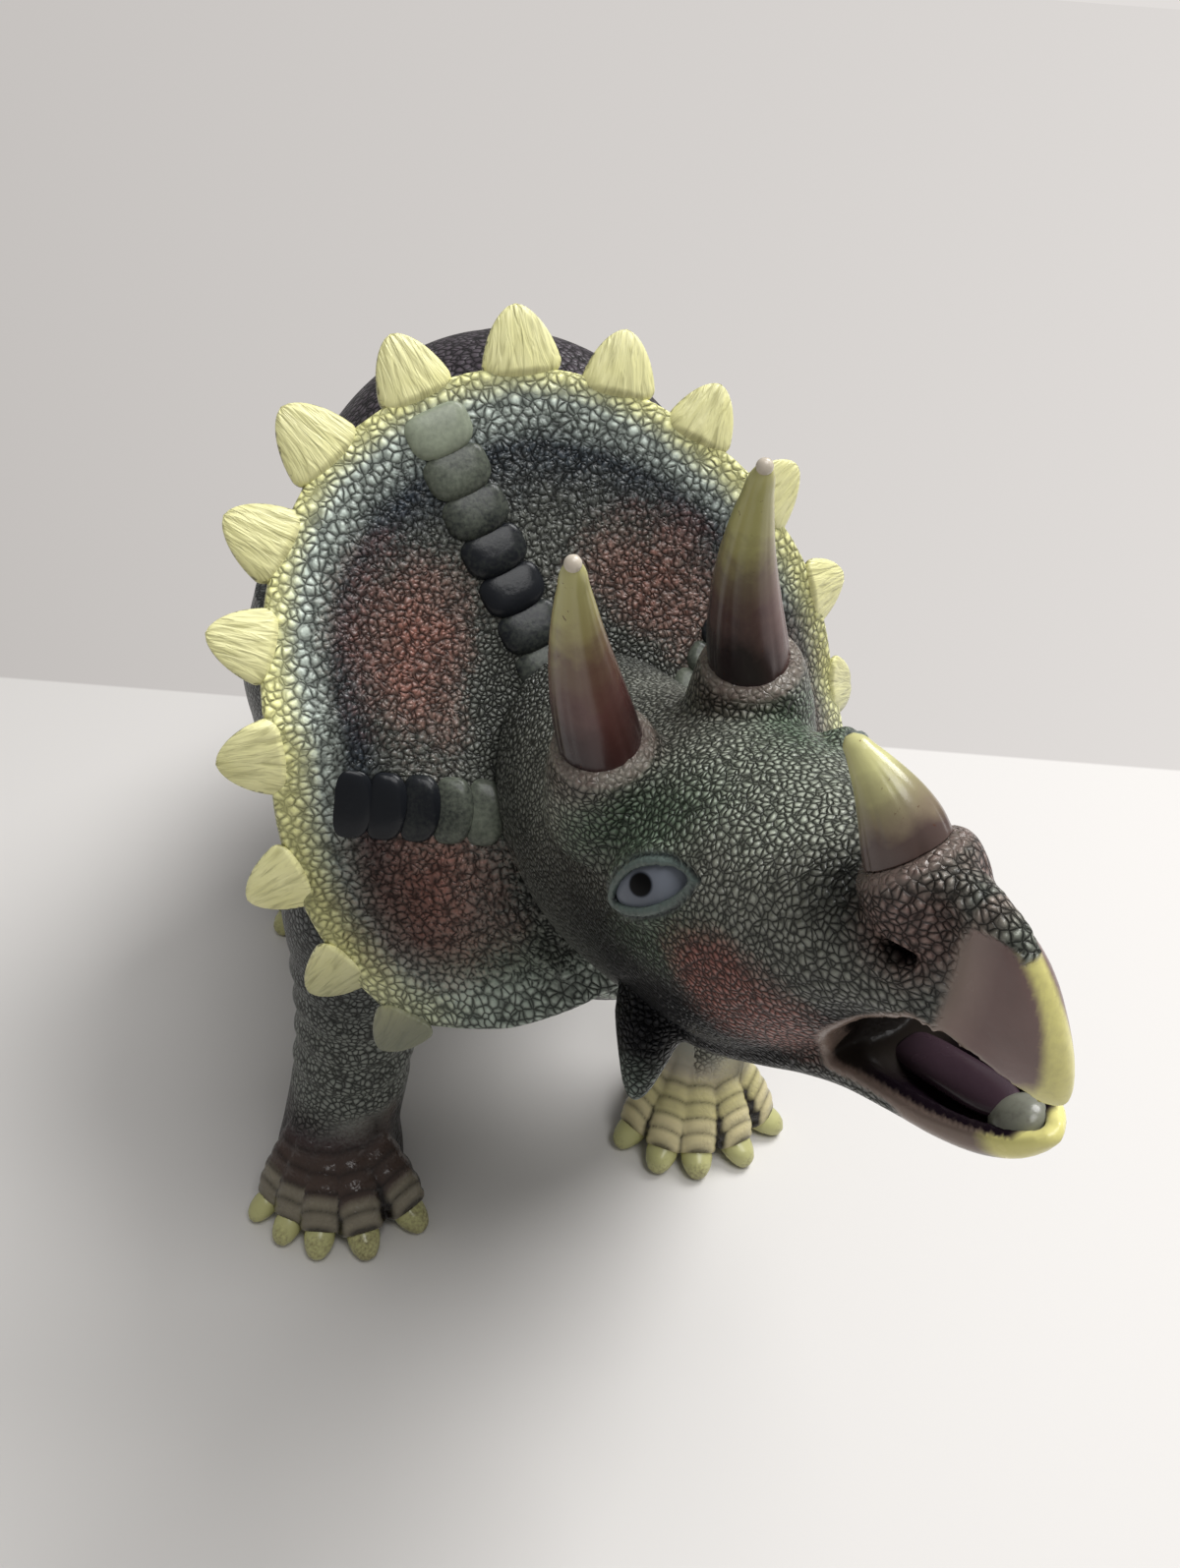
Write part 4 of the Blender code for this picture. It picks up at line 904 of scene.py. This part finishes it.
def trunkSkin():
    # rings leaning from the neck's slope to the tail's, joined by smooth curves along the trunk
    stations = [(*neckPivot, trunk["neckRadius"], trunk["neckRadius"], neckRise)]
    for along, height, wide, high, lean in trunk["shares"]:
        centre = trunkFloor + np.array([0, along * trunk["length"], height * trunk["back"]]) * mm
        stations.append((*centre, wide * trunk["wide"], high * trunk["high"], lean * neckRise))
    stations.append((*tailPivot, trunk["tailRadius"], trunk["tailRadius"], tailDrop))
    t = through(np.arange(len(stations)), stations, np.linspace(0, len(stations) - 1, 140))
    up = np.stack([0 * t[:, 5], np.sin(t[:, 5]), np.cos(t[:, 5])], -1)
    return tubeSkin(ringGrid(t[:, :3], (1, 0, 0), up, t[:, 3] * mm, t[:, 4] * mm, 120))


def seatCut(pivot, side, radius):
    reach = (radius + 1.5) * mm
    return tubeSkin(axisTube((0, 0, 0), (side, 0, 0), [(0, reach), (0.04, reach)], 96) + pivot)


made = fused("trunkSkin", [trunkSkin()], 1.3 * mm, 4, [seatCut(*seat) for seat in seats])
points, normals = readPoints(made)
local = (points - trunkFloor) / mm
x, y, z = local.T
folds = 0.7 * np.sin(y * 0.32 + 0.8 * np.sin(z * 0.05)) * fade(60, 20, y) * fade(60, 120, z)
spine = fade(7, 0, np.abs(x)) * fade(150, 190, z) * (0.5 + 0.5 * np.cos(y * 2 * math.pi / 13)) * fade(30, 45, y)
atSeat = np.zeros(len(points))
for pivot, side, radius in seats:
    away = np.hypot(points[:, 1] - pivot[1], points[:, 2] - pivot[2]) / mm
    atSeat = np.maximum(atSeat, (away < radius + 2.6) * (points[:, 0] * side > 0))
keep = 1 - atSeat
for pivot, out in ((neckPivot, neckOut), (tailPivot, tailOut)):
    keep = keep * fade(1.0, 5.0, (pivot - points) @ out / mm)
writePoints(made, points + normals * ((folds + 0.7 * spine) * keep * mm)[:, None])
flank = blobs(local, [(1.0, (mirror * 62, 100, 150), (40, 60, 30), 0.6) for mirror in (1, -1)])
mark(made, belly=fade(110, 70, z), back=fade(150, 215, z), flank=flank, calm=atSeat)
trunkVinyl = paintedVinyl("trunkVinylPaint", "#5a5a5a", trunk["paint"], 2.3, 0.42)
finishPiece(made, "torso", trunkVinyl, "body_vinyl", "torso_shell")

along, size, lift, side = lofted(tailForm["rows"], 120).T[..., None]
sag, curl = np.array([0, 0, -tailForm["droop"]]), np.array([tailForm["curl"], 0, 0])
centres = tailPivot + (along * tailOut + lift * sag + side * curl) * mm
bands = 1 + tailForm["bandDepth"] * np.sin(np.linspace(0, 2 * math.pi * tailForm["bands"], 120))
radius = trunk["tailRadius"] * size[:, 0] * bands * mm
tailUp = (0, math.sin(tailDrop), math.cos(tailDrop))
made = addMesh("tailSkin", [tubeSkin(ringGrid(centres, (1, 0, 0), tailUp, radius, radius, 180))])
away = (readPoints(made)[0] - tailPivot) / mm
high = away[:, 2] + tailForm["belowAxis"] * away[:, 1]
mark(made, back=fade(-5, 12, high), belly=fade(0, -20, high), calm=0.0)
tailVinyl = paintedVinyl("tailVinylPaint", "#5a5a5a", trunk["paint"][::2], 2.3, 0.4)
finishPiece(made, "tail", tailVinyl, "body_vinyl", "tail")
print("trunk and tail done")


# legs
foreleg = {
    "height": 124.0, "half": 17.5, "radius": 35.0, "swell": 28.0, "foot": -4.0, "ankle": 38.0,
    "shares": [(0.0, 1.12, 1.10, 0.0), (0.05, 1.12, 1.12, 0.0), (0.16, 1.02, 1.08, 0.12), (0.30, 1.00, 1.06, 0.46),
               (0.50, 1.00, 1.12, 0.78), (0.70, 1.08, 1.32, 0.94), (0.90, 1.14, 1.60, 1.0), (1.05, 0.80, 1.30, 1.0)],
}
hindleg = {
    "height": 136.0, "half": 19.0, "radius": 43.0, "swell": 32.0, "foot": 14.0, "ankle": 36.0,
    "shares": [(0.0, 1.30, 1.34, 0.0), (0.05, 1.32, 1.38, 0.0), (0.15, 1.14, 1.20, -0.06), (0.29, 1.02, 1.10, -0.20),
               (0.47, 1.08, 1.26, 0.05), (0.66, 1.22, 1.62, 0.60), (0.86, 1.26, 1.84, 1.0), (1.05, 0.90, 1.40, 1.0)],
}
hindToes = [(-48, 33.0, 1.1), (-16, 36.0, 1.2), (16, 36.0, 1.2), (48, 33.0, 1.1)]
feet = {
    # leg, joint, how far outboard the foot stands, claws' size, toes as degrees outwards, reach and size
    "foreleg_left": (foreleg, "shoulder_swivel_left", 7.0, 1.12,
                     [(-62, 32.5, 0.95), (-36, 34.0, 1.0), (-13, 33.5, 1.0), (17, 33.0, 1.0), (50, 33.0, 0.98)]),
    "foreleg_right": (foreleg, "shoulder_swivel_right", 28.0, 1.0,
                      [(-58, 32.5, 0.85), (-37, 34.0, 0.92), (-17, 36.0, 1.0), (6, 38.0, 1.06), (33, 38.0, 1.06)]),
    "hindleg_left": (hindleg, "hip_swivel_left", 16.0, 1.1, hindToes),
    "hindleg_right": (hindleg, "hip_swivel_right", 16.0, 1.1, hindToes),
}
toes = {"bands": 6.0, "wide": 6.8, "high": 6.0, "spread": 9.0, "clawWide": 4.5, "clawLong": 12.0, "clawLift": 5.6}


def legColumn(leg, foot, side):
    # level rings from the sole to the joint, each an oval between the foot's centre and the shoulder's
    up, wide, deep, share = lofted(leg["shares"], 90).T
    centres = np.stack([foot[0] + (side * leg["half"] - foot[0]) * share, foot[1] * (1 - share),
                        (up - 1) * leg["height"]], -1)
    return ringGrid(centres, (1, 0, 0), (0, 1, 0), wide * leg["half"], deep * leg["half"], 96)


def domeTube(leg, side):
    # rounded shoulder on the joint axis: radius by cosine, height by sine
    a = np.linspace(0, math.pi / 2, 24)[::-1]
    stations = np.stack([0.3 + leg["swell"] * np.sin(a), leg["radius"] * np.cos(a) + 0.02], -1)
    stations = np.concatenate([stations, [(0.3, leg["radius"] * 0.98)]])[::-1]
    return axisTube((0, 0, 0), (side, 0, 0), stations + [(i * 1e-4, 0) for i in range(len(stations))], 72)


def toeOut(reach, v):
    # distance from the foot's centre along a toe, from the ankle at v = 0 to its tip at 1
    return through([0, 0.3, 0.65, 0.9, 1.0], [toes["spread"], 15.5, 0.66 * reach, reach - 7.5, reach - 6.0], v)


def toeLine(leg, foot, turn, out, lift):
    # centres of rings along a toe, and the direction across it
    a = math.radians(turn)
    aim, side = np.array([math.sin(a), -math.cos(a), 0.0]), np.array([math.cos(a), math.sin(a), 0.0])
    return np.array([*foot, -leg["height"]]) + out[:, None] * aim + lift[:, None] * np.array([0, 0, 1.0]), side


def toePath(leg, foot, turn, reach, size):
    # a toe runs from the ankle down to the floor; its knuckles are rolls of a rectified sine, creased between
    v = np.linspace(0, 1, 90)
    lift = through([0, 0.3, 0.65, 0.9, 1.0], [leg["ankle"] - 6, 22.5, 13.0, 6.6, 5.4], v)
    centres, side = toeLine(leg, foot, turn, toeOut(reach, v), lift)
    up = np.cross(side, np.gradient(centres, axis=0))
    up = up / np.linalg.norm(up, axis=1)[:, None]
    up = up * np.sign(up[:, 2:])
    roll = 0.9 + 0.13 * np.abs(np.sin(v * math.pi * toes["bands"])) ** 0.5
    wide = size * roll * toes["wide"] * through([0, 0.3, 0.75, 1.0], [0.62, 0.84, 1.0, 0.86], v)
    high = size * roll * toes["high"] * through([0, 0.3, 0.75, 1.0], [0.8, 0.95, 1.0, 0.86], v)
    high = np.minimum(high, lift / np.maximum(np.abs(up[:, 2]), 0.3) - 0.05)
    return ringGrid(centres, side, up, wide, high, 40, 0.9)


def clawGrid(leg, foot, turn, reach, size):
    # blunt claw set in the toe's end: an egg along a line that dips to the floor
    v = np.linspace(0, 1, 40)
    lift = toes["clawLift"] - 2.6 * v ** 1.6
    centres, side = toeLine(leg, foot, turn, reach + 1.5 - toes["clawLong"] * size * (1 - v), lift)
    egg = through([0, 0.06, 0.3, 0.62, 0.85, 0.95, 1.0], [0.4, 0.8, 1.0, 0.95, 0.68, 0.42, 0.08], v)
    wide = toes["clawWide"] * size * np.clip(egg, 0.05, 1)
    return ringGrid(centres, side, (0, 0, 1), wide, np.minimum(wide * 1.02, lift - 0.05), 40)


def legPaint(name, foot, toe, cuticle):
    return paintedVinyl(name, "#7e827b", [
        ("thigh", "#5c5f5d", 0.6), ("footShade", foot, 0.5), ("toeEnd", toe, 0.5), ("cuticle", cuticle, 0.3),
        ("creases", "#16110f", 0.15)], 1.7, 0.6, light=0.2, shine=0.32)


clawPaint = paintedVinyl("clawVinylPaint", "#b6b47e", [("rub", "#4c3a2c", 1.3)], 2.0, 0.05, light=0.05)
paleLeg = legPaint("leftForelegPaint", "#978d79", "#b0a87a", "#c0b58e")
darkLeg = legPaint("rightForelegPaint", "#33272a", "#42352f", "#7a7464")
for name, (leg, joint, outboard, clawSize, toeTable) in feet.items():
    side = mirrors[name.split("_")[1]]
    pieceName = name.replace("_left", "{}Left").replace("_right", "{}Right")
    pivot = np.array(joints[joint]["pos_m"])
    foot = (side * outboard, leg["foot"])
    grids = [legColumn(leg, foot, side), domeTube(leg, side)] + [toePath(leg, foot, *toe) for toe in toeTable]
    made = fused(pieceName.format("Skin"), [tubeSkin(pivot + grid * mm) for grid in grids], 0.72 * mm, 2)
    points, normals = readPoints(made)
    local = (points - pivot) / mm
    x, y, z = local.T
    level = z + leg["height"]
    local[:, 0] = side * np.where(level > 72, np.maximum(side * x, 0.3), side * x)
    level = np.maximum(level, 0.0)
    local[:, 2] = level - leg["height"]
    folds = 0.55 * np.sin(level * 0.55 + 1.5 * np.sin(y * 0.12)) * fade(36, 50, level) * fade(100, 80, level)
    local += normals * (folds * fade(0.5, 4, level))[:, None] * (1, 1, 0)
    writePoints(made, pivot + local * mm)
    # where a point lies along and beside its nearest toe, for the bands, the gaps and the cuticle
    v = np.linspace(0, 1, 60)
    out = np.hypot(x - foot[0], y - foot[1])
    turn = np.degrees(np.arctan2(x - foot[0], foot[1] - y))
    gap, along, reachTo = np.full(len(points), 99.0), np.zeros(len(points)), np.zeros(len(points))
    for angle, reach, size in toeTable:
        beside = np.abs(out * np.sin(np.radians(np.clip(turn - angle, -90, 90)))) / size
        nearer = beside < gap
        gap = np.where(nearer, beside, gap)
        along = np.where(nearer, np.interp(out - 2.5, toeOut(reach, v), v), along)
        reachTo = np.where(nearer, reach, reachTo)
    ankle = leg["ankle"]
    onToes = fade(ankle + 4, ankle - 4, level) * fade(8.5, 7.0, gap) * fade(14, 18, out)
    band = (1 - np.abs(np.sin(along * math.pi * toes["bands"])) ** 0.5) * onToes
    between = fade(4.6, 6.4, gap) * fade(13, 9, gap) * fade(ankle, ankle - 10, level) * fade(14, 20, out)
    # the toe crease coat is near-black painted shade in each knuckle crease and in the gaps between the toes
    mark(made, thigh=fade(60, 100, level), footShade=fade(ankle + 8, ankle - 14, level),
         toeEnd=fade(15, 22, out) * onToes, creases=np.clip(band * 0.8 + between, 0, 1),
         cuticle=fade(9.5, 7.5, reachTo - out) * onToes * 0.8, calm=np.clip(onToes * 0.85 + (side * x < 1.0), 0, 1))
    finishPiece(made, name, paleLeg if name == "foreleg_left" else darkLeg, "leg_vinyl", name)
    claws = addMesh(pieceName.format("Claws"),
                    [tubeSkin(pivot + clawGrid(leg, foot, turn, reach, size * clawSize) * mm)
                     for turn, reach, size in toeTable])
    away = (readPoints(claws)[0] - pivot) / mm
    mark(claws, rub=fade(31, 39, np.hypot(away[:, 0] - foot[0], away[:, 1] - foot[1])) * 0.4, calm=1.0)
    finishPiece(claws, name, clawPaint, "leg_vinyl")
print("legs done")


# table, wall, light and camera
stage = {
    # the wall's two tones are painted light: darker to the left, lighter to the right
    "table": "#dad7d4", "wallLeft": "#c3bfbc", "wallRight": "#e2dedb", "roughness": 0.6, "half": 60.0,
    "line": ((-0.2014, 0.2864), (0.3715, 0.0997)),       # ends of the line where table meets wall, metres
    "turn": (-0.070, -0.292, 0),     # the wall's tone turns from left to right about this point of the table
    "sky": 0.27,
    "lamps": {                       # place in metres, size, watts
        "windowLamp": ((0.80, 0.28, 1.30), 0.75, 17.0),
        "ceilingLamp": ((0.25, -0.60, 1.70), 1.00, 15.0),
    },
    "camera": {"pitch": 35.0, "roll": -4.5, "yaw": 18.0, "fromNeck": (-0.0759, -0.2054, 0.1664)},
}


def addStage():
    # pale table top that turns into the wall's grey behind one straight line; to the camera the wall glows, with
    # painted light that runs from darker on the left to lighter on the right
    half = stage["half"]
    mesh = bpy.data.meshes.new("tableTop")
    mesh.from_pydata([(-half, -half, 0), (half, -half, 0), (half, half, 0), (-half, half, 0)], [], [(0, 1, 2, 3)])
    made = bpy.data.objects.new("tableTop", mesh)
    scene.collection.objects.link(made)
    material, tree, shader = newMaterial("paintedTable")
    a, b = (np.array(end) for end in stage["line"])
    run = unit(b - a)
    normal = (-run[1], run[0], 0.0)
    place = objectPlace(tree)
    behind = remap(tree, vector(tree, "DOT_PRODUCT", vector(tree, "SUBTRACT", place, (*a, 0)), normal), 0.0, 0.002)
    out = vector(tree, "SUBTRACT", place, stage["turn"])
    across, away = (vector(tree, "DOT_PRODUCT", out, way) for way in ((*run, 0.0), normal))
    ratio = calc(tree, "DIVIDE", across, away)
    wall = coat(tree, remap(tree, ratio, -0.6, 0.6), linear(stage["wallLeft"]), stage["wallRight"])
    glow = add(tree, "ShaderNodeEmission", {"Color": wall, "Strength": 1.0})
    rays = add(tree, "ShaderNodeLightPath")
    seen = calc(tree, "MULTIPLY", behind, rays.outputs["Is Camera Ray"])
    fill(tree, shader, {"Base Color": linear(stage["table"]), "Roughness": stage["roughness"]})
    mixed = add(tree, "ShaderNodeMixShader", {0: seen, 1: shader.outputs[0], 2: glow.outputs[0]})
    fill(tree, tree.nodes["Material Output"], {"Surface": mixed.outputs[0]})
    mesh.materials.append(material)


def addLights():
    for name, (place, size, power) in stage["lamps"].items():
        lamp = bpy.data.lights.new(name, "AREA")
        lamp.shape, lamp.size, lamp.energy = "DISK", size, power
        made = bpy.data.objects.new(name, lamp)
        made.location = place
        made.rotation_euler = (-made.location).to_track_quat("-Z", "Y").to_euler()
        scene.collection.objects.link(made)
    world = bpy.data.worlds.new("room")
    world.use_nodes = True
    scene.world = world
    tree = world.node_tree
    light = tree.nodes["Background"]
    fill(tree, light, {"Color": linear("#f4f3f1"), "Strength": stage["sky"]})
    plain = add(tree, "ShaderNodeBackground", {"Color": linear(stage["wallRight"]), "Strength": 1.0})
    rays = add(tree, "ShaderNodeLightPath")
    mixed = add(tree, "ShaderNodeMixShader", {0: rays.outputs["Is Camera Ray"], 1: light.outputs[0],
                                              2: plain.outputs[0]})
    fill(tree, tree.nodes["World Output"], {"Surface": mixed.outputs[0]})


def addCamera():
    # right, up and back of the view as columns, from the fit of the photograph
    lens = bpy.data.cameras.new("photoCamera")
    lens.sensor_width, lens.lens = 36.0, 36.0 * 1200 / 1595
    lens.clip_start, lens.clip_end = 0.01, 200.0
    made = bpy.data.objects.new("photoCamera", lens)
    pitch, roll, yaw = (math.radians(stage["camera"][name]) for name in ("pitch", "roll", "yaw"))
    rolled = np.array([[math.cos(roll), -math.sin(roll), 0], [math.sin(roll), math.cos(roll), 0], [0, 0, 1]])
    pitched = np.array([[1, 0, 0], [0, -math.sin(pitch), math.cos(pitch)], [0, -math.cos(pitch), -math.sin(pitch)]])
    turned = np.array([[math.cos(yaw), math.sin(yaw), 0], [-math.sin(yaw), math.cos(yaw), 0], [0, 0, 1]])
    matrix = np.eye(4)
    matrix[:3, :3] = turned @ pitched @ rolled * (1, -1, -1)
    matrix[:3, 3] = neckPivot + stage["camera"]["fromNeck"]
    made.matrix_world = Matrix(matrix.tolist())
    scene.collection.objects.link(made)
    scene.camera = made


addStage()
addLights()
addCamera()
scene.view_settings.view_transform = "Standard"
